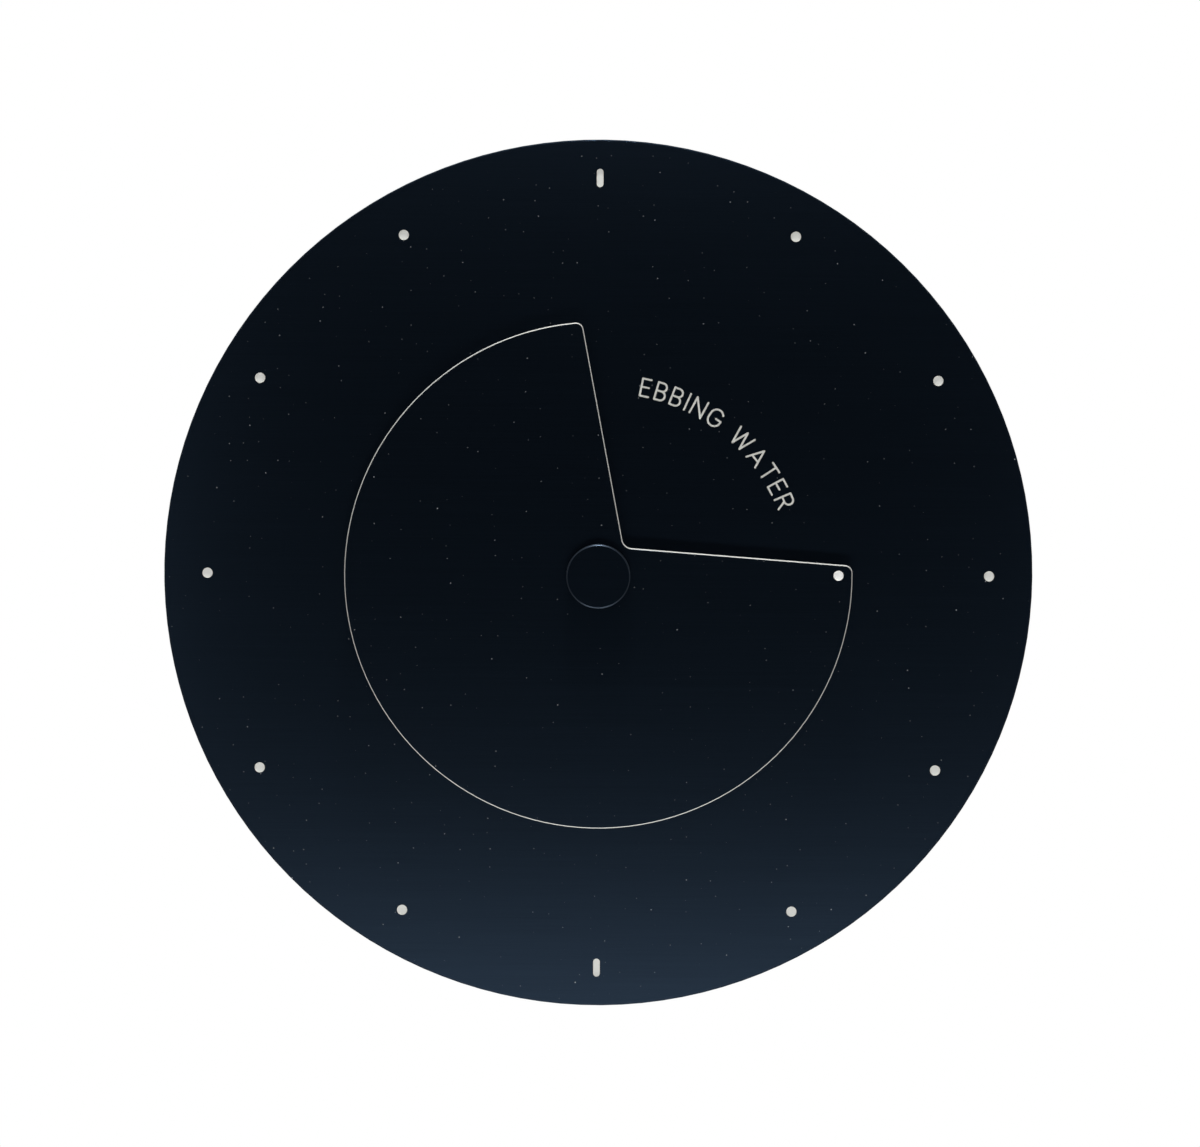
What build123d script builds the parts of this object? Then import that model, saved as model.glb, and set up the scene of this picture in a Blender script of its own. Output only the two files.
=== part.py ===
# Tide clock for a wall: a notched disc turns in front of a round engraved dial,
# driven by a quartz movement that hangs behind it on a nail.
# Millimetres, +Z up, the dial faces -Y, the hand turns on the Y axis.
# Depths are measured forward from the wall, and the origin is half way through the clock.

import os
from dataclasses import dataclass
from math import acos, atan2, cos, degrees, hypot, pi, radians, sin, tan

from build123d import *

os.makedirs("parts", exist_ok=True)

# Dial plate
dial_diameter = 250.0
dial_thickness = 2.0
dial_edge_chamfer = 0.3
dot_ring_radius = 112.5
dot_diameter = 2.95
slot_ring_radius = 114.0
slot_width = 1.95
slot_length = 5.25
engraving_depth = 0.2
marks_round_dial = 12

# Legend: single strokes with round ends, set along an arc
legend_radius = 56.5
legend_arc_shift = 2.3
letter_height = 5.0
letter_stroke = 0.57
letter_gap = 1.38
word_gap = 4.6

# Tide disc
disc_diameter = 146.0
disc_thickness = 1.0
disc_bevel = 0.28
disc_bevel_depth = 0.28
notch_angle = 105.0
notch_middle = 48.2
notch_vertex_radius = 10.9
notch_inner_fillet = 2.9
notch_outer_fillet = 2.2
pointer_dot_diameter = 2.9
pointer_dot_radius = 69.0
pointer_dot_angle = 0.3
pointer_dot_depth = 0.2

# Hub of the disc and the cap on it
collet_flange_diameter = 12.0
collet_flange_thickness = 0.5
collet_hub_diameter = 8.0
cap_diameter = 18.4
cap_height = 3.1
cap_chamfer = 0.35

# Case of the movement
case_size = 56.0
case_corner_radius = 4.0
case_front_fillet = 0.8
case_rear_chamfer = 0.3
case_wall = 1.2
case_front_wall = 1.5
case_depth = 16.5
cover_thickness = 1.5
cover_gap = 0.1
cover_edge_chamfer = 0.25
partition_height = -10.9
partition_thickness = 1.0
post_diameter = 3.0
post_places = ((12.5, -7.2), (-12.5, -7.2), (14.0, 15.5), (-17.0, 23.5))
peg_diameter = 1.6
snap_reach = 0.8
snap_height = 8.0

# Hanging tab of the rear cover
tab_width = 18.0
tab_rise = 15.0
tab_corner_radius = 5.0
keyhole_rise = 5.0
keyhole_diameter = 7.6
keyhole_slot_width = 4.0
keyhole_slot_rise = 5.5

# Well for the setting knob
well_diameter = 14.0
well_depth = 2.3
well_wall = 1.0
knob_diameter = 11.0
knob_back = 0.4
knob_thickness = 1.3
knob_flutes = 24
knob_flute_diameter = 0.9
knob_hub_diameter = 4.0
knob_hub_front = 2.1
knob_ring_diameter = 7.0
knob_ring_depth = 0.4

# Marks engraved in the cover: an arrow over the knob, plus and minus over the ends of the cell
cover_mark_depth = 0.25
cover_mark_stroke = 0.7
arrow_ring_gap = 2.6
arrow_start = 45.0
arrow_sweep = 90.0
arrow_barb = 1.8
arrow_barb_angle = 40.0
sign_size = 3.2
sign_place = 22.5
sign_rise = 3.8

# Nose and clamping parts
nose_diameter = 8.0
nose_end_gap = 0.5
nose_flange_diameter = 12.0
nose_flange_thickness = 1.2
thread_pitch = 0.75
thread_depth = 0.4
rubber_margin = 3.0
rubber_corner_radius = 6.0
rubber_thickness = 0.8
brass_washer_diameter = 13.0
brass_washer_thickness = 0.5
nut_across_flats = 12.0
nut_thickness = 2.0
nose_past_nut = 0.5
nut_chamfer = 0.35
fit_gap = 0.05

# Bearing plate
plate_back = 9.0
plate_thickness = 1.0
plate_side_gap = 0.8
plate_coil_gap = 5.2
plate_partition_gap = 0.5
plate_corner_radius = 1.0

# Gears
train_module = 0.25
motion_module = 0.4
pressure_angle = 20.0
tooth_backlash = 0.04
wheel_addendum_share = 0.45
pinion_addendum_share = 0.9
tip_clearance_share = 0.25
flank_shares = (0.0, 0.35, 0.7, 1.0)

# Bearings of the train
third_bearing_angle = 50.0
second_bearing_angle = 140.0
intermediate_bearing_angle = 165.0
rotor_bearing_angle = 80.0
minute_bearing_angle = 180.0
staff_radius = 0.4
pivot_radius = 0.25
pivot_length = 0.85
pivot_end_gap = 0.05
running_gap = 0.03
staff_end_gap = 0.1

# Depths of the wheels, back and front faces
rotor_pinion_layer = (2.2, 3.2)
intermediate_wheel_layer = (2.4, 3.0)
intermediate_pinion_layer = (3.6, 4.6)
second_wheel_layer = (3.8, 4.4)
second_pinion_layer = (5.0, 6.0)
third_wheel_layer = (5.2, 5.8)
third_pinion_layer = (6.2, 7.4)
clutch_wheel_layer = (6.4, 7.2)
cannon_pinion_layer = (10.4, 11.6)
minute_wheel_layer = (10.6, 11.4)
minute_pinion_layer = (11.4, 13.3)
tide_wheel_layer = (12.0, 13.0)

# Centre arbor and its clutch
arbor_back_radius = 0.75
arbor_front_radius = 0.9
arbor_front = 15.0
back_collar_radius = 1.8
back_collar_depth = 0.45
front_collar_radius = 1.5
front_collar_depth = 0.7
spring_radius = 3.0
spring_thickness = 0.2
spring_rise = 0.6
spring_arm_width = 1.2
spring_arms = 3

# Hand wheel and tube
tube_radius = 2.5
tube_bore_end = 15.3
tube_past_disc = 1.3
hub_shoulder_radius = 3.4
hub_shoulder_depth = 0.6
minute_staff_radius = 0.5
minute_pivot_radius = 0.4

# Motor
magnet_radius = 3.0
magnet_layer = (7.3, 8.8)
stator_thickness = 0.8
stator_hole_radius = 3.4
stator_ring_radius = 5.2
stator_leg_width = 3.0
stator_notch_radius = 0.5
core_wall_gap = 5.8
core_low = 3.6
core_high = 26.4
core_width = 2.4
core_thickness = 1.0
bobbin_low = 6.8
bobbin_high = 23.2
bobbin_flange_thickness = 0.9
bobbin_flange_radius = 3.8
bobbin_tube_radius = 1.9
winding_radius = 3.3

# Circuit
board_width = 10.2
board_height = 24.4
board_thickness = 1.0
chip_across = 5.4
chip_up = 14.4
chip_radius = 2.6
chip_height = 0.9
crystal_across = 2.9
crystal_up = 3.9
crystal_radius = 0.75
crystal_length = 6.0
crystal_leads = 1.2
crystal_lead_width = 0.3

# Battery and contacts
battery_diameter = 14.5
battery_length = 50.5
battery_nub_diameter = 5.5
battery_nub_length = 1.0
battery_depth = 7.6
battery_edge_fillet = 0.5
contact_thickness = 0.3
contact_height = 6.0
contact_foot_back = 5.0
contact_foot_front = 9.0
contact_overlap = 1.2
leaf_back = 3.0
leaf_front = 12.5
leaf_crown_gap = 0.1
slit_gap = 0.1

# Letters: widths, straight strokes (x1, y1, x2, y2) and arcs (x, y, radius, start, sweep),
# all as shares of the letter height
letter_width_shares = {
    "A": 0.80, "B": 0.56, "E": 0.50, "G": 0.76, "H": 0.68, "I": 0.0, "L": 0.48,
    "N": 0.70, "O": 0.80, "R": 0.58, "S": 0.56, "T": 0.66, "W": 1.10,
}
letter_line_shares = {
    "A": ((0.0, 0.0, 0.4, 1.0), (0.4, 1.0, 0.8, 0.0), (0.13, 0.32, 0.67, 0.32)),
    "B": ((0.0, 0.0, 0.0, 1.0), (0.0, 1.0, 0.30, 1.0), (0.0, 0.52, 0.32, 0.52), (0.0, 0.0, 0.30, 0.0)),
    "E": ((0.0, 0.0, 0.0, 1.0), (0.0, 1.0, 0.5, 1.0), (0.0, 0.52, 0.44, 0.52), (0.0, 0.0, 0.5, 0.0)),
    "G": ((0.0, 0.38, 0.0, 0.62), (0.76, 0.38, 0.76, 0.46), (0.76, 0.46, 0.44, 0.46)),
    "H": ((0.0, 0.0, 0.0, 1.0), (0.68, 0.0, 0.68, 1.0), (0.0, 0.52, 0.68, 0.52)),
    "I": ((0.0, 0.0, 0.0, 1.0),),
    "L": ((0.0, 1.0, 0.0, 0.0), (0.0, 0.0, 0.48, 0.0)),
    "N": ((0.0, 0.0, 0.0, 1.0), (0.0, 1.0, 0.70, 0.0), (0.70, 0.0, 0.70, 1.0)),
    "O": ((0.0, 0.40, 0.0, 0.60), (0.80, 0.40, 0.80, 0.60)),
    "R": ((0.0, 0.0, 0.0, 1.0), (0.0, 1.0, 0.32, 1.0), (0.0, 0.48, 0.32, 0.48), (0.30, 0.48, 0.58, 0.0)),
    "S": (),
    "T": ((0.0, 1.0, 0.66, 1.0), (0.33, 1.0, 0.33, 0.0)),
    "W": ((0.0, 1.0, 0.27, 0.0), (0.27, 0.0, 0.55, 1.0), (0.55, 1.0, 0.83, 0.0), (0.83, 0.0, 1.10, 1.0)),
}
letter_arc_shares = {
    "B": ((0.30, 0.76, 0.24, -90.0, 180.0), (0.30, 0.26, 0.26, -90.0, 180.0)),
    "G": ((0.38, 0.62, 0.38, 35.0, 145.0), (0.38, 0.38, 0.38, 180.0, 180.0)),
    "O": ((0.40, 0.60, 0.40, 0.0, 180.0), (0.40, 0.40, 0.40, 180.0, 180.0)),
    "R": ((0.32, 0.74, 0.26, -90.0, 180.0),),
    "S": ((0.28, 0.75, 0.25, 25.0, 245.0), (0.28, 0.25, 0.25, -155.0, 245.0)),
}
legends = (
    ("EBBING WATER", 50.9, False),
    ("LOW WATER", -39.1, True),
    ("RISING WATER", -129.1, True),
    ("HIGH WATER", 140.9, False),
)

# Stack of depths worked out from the sizes above
overrun = 1.0
cover_front = cover_thickness
case_inside_front = case_depth - case_front_wall
dial_back = case_depth + rubber_thickness
dial_front = dial_back + dial_thickness
nut_back = dial_front + brass_washer_thickness
nut_front = nut_back + nut_thickness
nose_front = nut_front + nose_past_nut
collet_back = nose_front + nose_end_gap
disc_back = collet_back + collet_flange_thickness
disc_front = disc_back + disc_thickness
tube_front = disc_front + tube_past_disc
clock_depth = disc_front + cap_height
plate_front = plate_back + plate_thickness
stator_back = plate_back - stator_thickness
core_back = stator_back - core_thickness
board_back = plate_back - board_thickness
case_half = case_size / 2
inside_half = case_half - case_wall
cover_half = inside_half - cover_gap
battery_height = (partition_height - partition_thickness - inside_half) / 2
cover_bottom = partition_height + cover_gap
tab_top = case_half + tab_rise
keyhole_height = case_half + keyhole_rise
rubber_size = case_size - 2 * rubber_margin
core_place = inside_half - core_wall_gap
plate_left = plate_side_gap - inside_half
plate_right = core_place - plate_coil_gap
plate_bottom = partition_height + plate_partition_gap
plate_top = inside_half - plate_side_gap
board_left = slit_gap + contact_thickness - inside_half
board_right = board_left + board_width
board_bottom = plate_bottom
board_top = board_bottom + board_height
chip_place = (board_left + chip_across, board_bottom + chip_up)
crystal_place = (board_left + crystal_across, board_bottom + crystal_up)


def at(depth):
    """Plane that faces forward, this far in front of the wall, with X to the right and Z up."""
    return Plane.XZ.offset(depth - clock_depth / 2)


def layer(sketch, back, front, mode=Mode.ADD):
    """Fill a flat shape forward from back to front in the part being built."""
    extrude(sketch, amount=front - back, mode=mode)


def round_layer(back, front, radius, centre=(0, 0), mode=Mode.ADD):
    """Add or cut a cylinder along the clock's depth."""
    with BuildSketch(at(back)) as shape:
        with Locations(centre):
            Circle(radius)
    layer(shape.sketch, back, front, mode)


def box_layer(back, front, left, right, bottom, top, mode=Mode.ADD):
    """Add or cut a block given by its edges seen from the front."""
    with BuildSketch(at(back)) as shape:
        with Locations(((left + right) / 2, (bottom + top) / 2)):
            Rectangle(right - left, top - bottom)
    layer(shape.sketch, back, front, mode)


def finish(part, name):
    """Label a finished piece and write it."""
    part.label = name
    export_step(part, f"parts/{name}.step")


# Gears
@dataclass(frozen=True)
class Gear:
    """An involute gear: the tooth tip and root follow the shares of its module."""

    teeth: int
    module: float
    tip_share: float
    mate_tip_share: float

    @property
    def pitch_radius(self):
        return self.teeth * self.module / 2

    @property
    def tip_radius(self):
        return self.pitch_radius + self.tip_share * self.module

    @property
    def root_radius(self):
        return self.pitch_radius - (self.mate_tip_share + tip_clearance_share) * self.module

    def half_angle(self, radius):
        """Half the angle that a tooth spans at a radius, from the involute of its base circle."""
        base = self.pitch_radius * cos(radians(pressure_angle))
        spread = acos(min(base / max(radius, base), 1))
        at_pitch = pi / (2 * self.teeth) - tooth_backlash / (4 * self.pitch_radius)
        involute_pitch = tan(radians(pressure_angle)) - radians(pressure_angle)
        return at_pitch + involute_pitch - (tan(spread) - spread)

    def outline(self, centre, turn):
        """Points round the gear, with one tooth centred at the angle turn in degrees."""
        base = self.pitch_radius * cos(radians(pressure_angle))
        low = max(base, self.root_radius)
        radii = [low + (self.tip_radius - low) * share for share in flank_shares]
        if self.root_radius < base:
            radii.insert(0, self.root_radius)
        points = []
        for tooth in range(self.teeth):
            middle = radians(turn) + 2 * pi * tooth / self.teeth
            for radius in radii:
                angle = middle - self.half_angle(radius)
                points.append((centre[0] + radius * cos(angle), centre[1] + radius * sin(angle)))
            for radius in reversed(radii):
                angle = middle + self.half_angle(radius)
                points.append((centre[0] + radius * cos(angle), centre[1] + radius * sin(angle)))
        return points


def wheel(teeth, module):
    return Gear(teeth, module, wheel_addendum_share, pinion_addendum_share)


def pinion(teeth, module):
    return Gear(teeth, module, pinion_addendum_share, wheel_addendum_share)


def beside(centre, gear, mate, bearing):
    """Centre of a mate that meshes with a gear, in the direction bearing from it."""
    distance = gear.pitch_radius + mate.pitch_radius
    return (centre[0] + distance * cos(radians(bearing)), centre[1] + distance * sin(radians(bearing)))


def meshed_turn(gear, gear_turn, mate, bearing):
    """Turn of the mate that puts its gap where the gear's tooth passes."""
    teeth_from_line = (bearing - gear_turn) * gear.teeth / 360
    return bearing + 180 - (0.5 - teeth_from_line) * 360 / mate.teeth


def gear_layer(gear, depths, centre=(0, 0), turn=0):
    """Add a toothed wheel between two depths."""
    back, front = depths
    with BuildSketch(at(back)) as shape:
        with BuildLine():
            Polyline(*gear.outline(centre, turn), close=True)
        make_face()
    layer(shape.sketch, back, front)


cannon_pinion = pinion(10, motion_module)
minute_gear = wheel(30, motion_module)
minute_pinion = pinion(8, motion_module)
tide_gear = wheel(32, motion_module)
clutch_gear = wheel(64, train_module)
third_pinion = pinion(8, train_module)
third_gear = wheel(60, train_module)
second_pinion = pinion(8, train_module)
second_gear = wheel(60, train_module)
intermediate_pinion = pinion(12, train_module)
intermediate_gear = wheel(48, train_module)
rotor_gear = pinion(8, train_module)

minute_centre = beside((0, 0), tide_gear, minute_pinion, minute_bearing_angle)
third_centre = beside((0, 0), clutch_gear, third_pinion, third_bearing_angle)
second_centre = beside(third_centre, third_gear, second_pinion, second_bearing_angle)
intermediate_centre = beside(second_centre, second_gear, intermediate_pinion, intermediate_bearing_angle)
rotor_centre = beside(intermediate_centre, intermediate_gear, rotor_gear, rotor_bearing_angle)
train_centres = (third_centre, second_centre, intermediate_centre, rotor_centre)

minute_turn = meshed_turn(cannon_pinion, 0, minute_gear, minute_bearing_angle)
tide_turn = meshed_turn(minute_pinion, 0, tide_gear, minute_bearing_angle + 180)
third_pinion_turn = meshed_turn(clutch_gear, 0, third_pinion, third_bearing_angle)
second_pinion_turn = meshed_turn(third_gear, 0, second_pinion, second_bearing_angle)
intermediate_pinion_turn = meshed_turn(second_gear, 0, intermediate_pinion, intermediate_bearing_angle)
rotor_turn = meshed_turn(intermediate_gear, 0, rotor_gear, rotor_bearing_angle)


def staff(centre, radius=staff_radius, pivot=pivot_radius):
    """Add a staff between the rear cover and the bearing plate, with a thin pivot at each end."""
    back = cover_front + staff_end_gap
    front = plate_back - staff_end_gap
    round_layer(back, front, radius, centre)
    round_layer(cover_front - pivot_length + pivot_end_gap, back, pivot, centre)
    round_layer(front, plate_back + pivot_length - pivot_end_gap, pivot, centre)


def strip(x1, y1, x2, y2, width):
    """Add a flat strip with round ends from one point to another."""
    with Locations(((x1 + x2) / 2, (y1 + y2) / 2)):
        SlotCenterToCenter(hypot(x2 - x1, y2 - y1), width, rotation=degrees(atan2(y2 - y1, x2 - x1)))


def curved_strip(x, y, radius, start, sweep, width):
    """Add a curved strip with round ends along an arc about a point."""
    SlotArc(CenterArc((x, y), radius, start, sweep, mode=Mode.PRIVATE), width)


def arc_face(radius, start, sweep, width):
    """Flat curved strip with round ends, about zero."""
    with BuildSketch() as shape:
        curved_strip(0, 0, radius, start, sweep, width)
    return shape.sketch


def letter_face(letter):
    """Flat shape of one letter, centred on its own width, with its middle height at zero."""
    left = -letter_width_shares[letter] * letter_height / 2
    low = -letter_height / 2
    with BuildSketch() as shape:
        for x1, y1, x2, y2 in letter_line_shares[letter]:
            start_x, start_y = left + x1 * letter_height, low + y1 * letter_height
            end_x, end_y = left + x2 * letter_height, low + y2 * letter_height
            strip(start_x, start_y, end_x, end_y, letter_stroke)
        for x, y, radius, start, sweep in letter_arc_shares.get(letter, ()):
            middle_x, middle_y = left + x * letter_height, low + y * letter_height
            curved_strip(middle_x, middle_y, radius * letter_height, start, sweep, letter_stroke)
    return shape.sketch


def letter_places(words):
    """Each letter with its distance along the arc from the middle of the words."""
    cursor = 0
    places = []
    for letter in words:
        if letter == " ":
            cursor += word_gap - letter_gap
            continue
        width = letter_width_shares[letter] * letter_height + letter_stroke
        places.append((letter, cursor + width / 2))
        cursor += width + letter_gap
    middle = (cursor - letter_gap) / 2
    return [(letter, along - middle) for letter, along in places]


def legend_faces(words, direction, flipped):
    """Letters along the arc whose middle lies in a direction, upright there or turned to read from below."""
    frame = Location((0, 0, 0), (0, 0, direction - 90))
    faces = []
    for letter, along in letter_places(words):
        turn = along / legend_radius if flipped else -along / legend_radius
        x = legend_arc_shift - legend_radius * sin(turn)
        y = legend_radius * cos(turn)
        tilt = degrees(turn) + (180 if flipped else 0)
        faces.append(frame * Location((x, y, 0), (0, 0, tilt)) * letter_face(letter))
    return faces


# Dial plate
with BuildPart() as dial_plate:
    round_layer(dial_back, dial_front, dial_diameter / 2)
    rims = dial_plate.edges().filter_by(GeomType.CIRCLE)
    chamfer(rims, dial_edge_chamfer)
    round_layer(dial_back - overrun, dial_front + overrun, nose_diameter / 2 + fit_gap, mode=Mode.SUBTRACT)
    with BuildSketch(at(dial_front - engraving_depth)) as hour_marks:
        for mark in range(marks_round_dial):
            angle = 90 + mark * 360 / marks_round_dial
            if mark % (marks_round_dial // 2):
                with PolarLocations(dot_ring_radius, 1, start_angle=angle):
                    Circle(dot_diameter / 2)
            else:
                with PolarLocations(slot_ring_radius, 1, start_angle=angle):
                    SlotOverall(slot_length, slot_width)
    extrude(amount=engraving_depth + overrun, mode=Mode.SUBTRACT)
    with BuildSketch(at(dial_front - engraving_depth)) as legend_marks:
        for words, direction, flipped in legends:
            for face in legend_faces(words, direction, flipped):
                add(face)
    extrude(amount=engraving_depth + overrun, mode=Mode.SUBTRACT)
finish(dial_plate.part, "dial_plate")

# Tide disc: its straight edges both pass beside the centre, so the notch opens wider than a quarter
with BuildPart() as tide_disc:
    with BuildSketch(at(disc_back)) as disc_outline:
        Circle(disc_diameter / 2)
        with BuildLine():
            vertex = Vector(notch_vertex_radius, 0).rotate(Axis.Z, notch_middle)
            first_edge = Vector(disc_diameter, 0).rotate(Axis.Z, notch_middle - notch_angle / 2)
            second_edge = Vector(disc_diameter, 0).rotate(Axis.Z, notch_middle + notch_angle / 2)
            Polyline(vertex, vertex + first_edge, vertex + second_edge, close=True)
        make_face(mode=Mode.SUBTRACT)
        corners = disc_outline.vertices().sort_by_distance((0, 0, 0))
        fillet(corners[1:3], notch_outer_fillet)
        corner = disc_outline.vertices().sort_by_distance((0, 0, 0))[0]
        fillet(corner, notch_inner_fillet)
    extrude(amount=disc_thickness)
    front_rim = tide_disc.faces().sort_by(Axis.Y)[0].edges()
    chamfer(front_rim, disc_bevel_depth, disc_bevel)
    round_layer(disc_back - overrun, disc_front + overrun, collet_hub_diameter / 2, mode=Mode.SUBTRACT)
    dot_depths = (disc_front - pointer_dot_depth, disc_front + overrun)
    dot_turn = radians(pointer_dot_angle)
    dot_place = (pointer_dot_radius * cos(dot_turn), pointer_dot_radius * sin(dot_turn))
    round_layer(*dot_depths, pointer_dot_diameter / 2, dot_place, mode=Mode.SUBTRACT)
finish(tide_disc.part, "tide_disc")

# Collet: flange behind the disc, hub through it
with BuildPart() as disc_collet:
    round_layer(collet_back, disc_back, collet_flange_diameter / 2)
    round_layer(disc_back, disc_front, collet_hub_diameter / 2)
    round_layer(collet_back - overrun, disc_front + overrun, tube_radius, mode=Mode.SUBTRACT)
finish(disc_collet.part, "disc_collet")

# Centre cap, pressed over the end of the tube
with BuildPart() as centre_cap:
    round_layer(disc_front, clock_depth, cap_diameter / 2)
    chamfer(centre_cap.faces().sort_by(Axis.Y)[0].edges(), cap_chamfer)
    round_layer(disc_front - overrun, tube_front, tube_radius, mode=Mode.SUBTRACT)
finish(centre_cap.part, "centre_cap")

# Hand wheel and its tube
with BuildPart() as tide_wheel:
    gear_layer(tide_gear, tide_wheel_layer, turn=tide_turn)
    shoulder_front = tide_wheel_layer[1] + hub_shoulder_depth
    round_layer(tide_wheel_layer[1], shoulder_front, hub_shoulder_radius)
    round_layer(shoulder_front, tube_front, tube_radius)
    bore_back = tide_wheel_layer[0] - overrun
    round_layer(bore_back, tube_bore_end, arbor_front_radius + fit_gap, mode=Mode.SUBTRACT)
finish(tide_wheel.part, "tide_wheel")

# Minute wheel on its own staff between the bearing plate and the front wall
with BuildPart() as minute_wheel:
    gear_layer(minute_gear, minute_wheel_layer, minute_centre, minute_turn)
    gear_layer(minute_pinion, minute_pinion_layer, minute_centre)
    staff_back = plate_front + staff_end_gap
    staff_front = case_inside_front - staff_end_gap
    round_layer(staff_back, minute_wheel_layer[0], minute_staff_radius, minute_centre)
    round_layer(minute_pinion_layer[1], staff_front, minute_staff_radius, minute_centre)
    pivot_front = case_inside_front + pivot_length - pivot_end_gap
    round_layer(plate_front - pivot_length, staff_back, minute_pivot_radius, minute_centre)
    round_layer(staff_front, pivot_front, minute_pivot_radius, minute_centre)
finish(minute_wheel.part, "minute_wheel")

# Centre arbor with the cannon pinion and the two collars of the clutch
with BuildPart() as centre_arbor:
    back_collar_back = clutch_wheel_layer[0] - back_collar_depth
    spring_front = clutch_wheel_layer[1] + spring_thickness + spring_rise
    round_layer(knob_back, back_collar_back, arbor_back_radius)
    round_layer(back_collar_back, clutch_wheel_layer[0], back_collar_radius)
    round_layer(clutch_wheel_layer[0], cannon_pinion_layer[0], arbor_front_radius)
    round_layer(spring_front, spring_front + front_collar_depth, front_collar_radius)
    gear_layer(cannon_pinion, cannon_pinion_layer)
    round_layer(cannon_pinion_layer[1], arbor_front, arbor_front_radius)
finish(centre_arbor.part, "centre_arbor")

# Setting knob: fluted rim, raised hub, pressed on the arbor
with BuildPart() as setting_knob:
    knob_front = knob_back + knob_thickness
    with BuildSketch(at(knob_back)) as knob_outline:
        Circle(knob_diameter / 2)
        with PolarLocations(knob_diameter / 2, knob_flutes):
            Circle(knob_flute_diameter / 2, mode=Mode.SUBTRACT)
    extrude(amount=knob_thickness)
    round_layer(knob_front, knob_hub_front, knob_hub_diameter / 2)
    with BuildSketch(at(knob_back - overrun)) as knob_ring:
        Circle(knob_ring_diameter / 2)
        Circle(knob_hub_diameter / 2, mode=Mode.SUBTRACT)
    extrude(amount=overrun + knob_ring_depth, mode=Mode.SUBTRACT)
    round_layer(knob_back - overrun, knob_hub_front + overrun, arbor_back_radius, mode=Mode.SUBTRACT)
finish(setting_knob.part, "setting_knob")

# Clutch wheel, free on the arbor
with BuildPart() as clutch_wheel:
    gear_layer(clutch_gear, clutch_wheel_layer)
    back, front = clutch_wheel_layer
    round_layer(back - overrun, front + overrun, arbor_front_radius + running_gap, mode=Mode.SUBTRACT)
finish(clutch_wheel.part, "clutch_wheel")

# Clutch spring: a flat ring under the front collar with bent arms that press on the wheel
with BuildPart() as clutch_spring:
    ring_back = spring_front - spring_thickness
    foot_back = clutch_wheel_layer[1]
    round_layer(ring_back, spring_front, front_collar_radius)
    arm_root = (front_collar_radius + arbor_front_radius) / 2
    for arm in range(spring_arms):
        arm_plane = Plane.XY.rotated((0, arm * 360 / spring_arms, 0))
        half_depth = clock_depth / 2
        with BuildSketch(arm_plane.offset(-spring_arm_width / 2)) as arm_outline:
            with BuildLine():
                Polyline(
                    (arm_root, half_depth - spring_front),
                    (spring_radius, half_depth - foot_back - spring_thickness),
                    (spring_radius, half_depth - foot_back),
                    (arm_root, half_depth - ring_back),
                    close=True,
                )
            make_face()
        extrude(amount=spring_arm_width)
    round_layer(foot_back - overrun, spring_front + overrun, arbor_front_radius, mode=Mode.SUBTRACT)
finish(clutch_spring.part, "clutch_spring")

# Wheels of the train, each with its pinion on one staff
with BuildPart() as third_wheel:
    gear_layer(third_gear, third_wheel_layer, third_centre)
    gear_layer(third_pinion, third_pinion_layer, third_centre, third_pinion_turn)
    staff(third_centre)
finish(third_wheel.part, "third_wheel")

with BuildPart() as second_wheel:
    gear_layer(second_gear, second_wheel_layer, second_centre)
    gear_layer(second_pinion, second_pinion_layer, second_centre, second_pinion_turn)
    staff(second_centre)
finish(second_wheel.part, "second_wheel")

with BuildPart() as intermediate_wheel:
    gear_layer(intermediate_gear, intermediate_wheel_layer, intermediate_centre)
    gear_layer(intermediate_pinion, intermediate_pinion_layer, intermediate_centre, intermediate_pinion_turn)
    staff(intermediate_centre)
finish(intermediate_wheel.part, "intermediate_wheel")

with BuildPart() as rotor_pinion:
    gear_layer(rotor_gear, rotor_pinion_layer, rotor_centre, rotor_turn)
    staff(rotor_centre)
finish(rotor_pinion.part, "rotor_pinion")

with BuildPart() as rotor_magnet:
    round_layer(*magnet_layer, magnet_radius, rotor_centre)
    magnet_back, magnet_front = magnet_layer
    round_layer(magnet_back - overrun, magnet_front + overrun, staff_radius, rotor_centre, Mode.SUBTRACT)
finish(rotor_magnet.part, "rotor_magnet")

# Stator: a ring round the magnet and two legs that reach the ends of the core
with BuildPart() as stator_plate:
    leg_heights = (core_low + stator_leg_width / 2, core_high - stator_leg_width / 2)
    leg_bend = core_place - bobbin_flange_radius - stator_leg_width / 2
    with BuildSketch(at(stator_back)) as stator_outline:
        with Locations(rotor_centre):
            Circle(stator_ring_radius)
        for leg_height in leg_heights:
            strip(*rotor_centre, leg_bend, leg_height, stator_leg_width)
            strip(leg_bend, leg_height, core_place, leg_height, stator_leg_width)
        with Locations(rotor_centre):
            Circle(stator_hole_radius, mode=Mode.SUBTRACT)
            with PolarLocations(stator_hole_radius, 2, start_angle=rotor_bearing_angle):
                Circle(stator_notch_radius, mode=Mode.SUBTRACT)
    extrude(amount=stator_thickness)
finish(stator_plate.part, "stator_plate")

# Coil: core bar, bobbin and winding
with BuildPart() as coil_core:
    left, right = core_place - core_width / 2, core_place + core_width / 2
    box_layer(core_back, stator_back, left, right, core_low, core_high)
finish(coil_core.part, "coil_core")

core_middle = core_back + core_thickness / 2
bobbin_plane = Plane((core_place, clock_depth / 2 - core_middle, 0))

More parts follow.
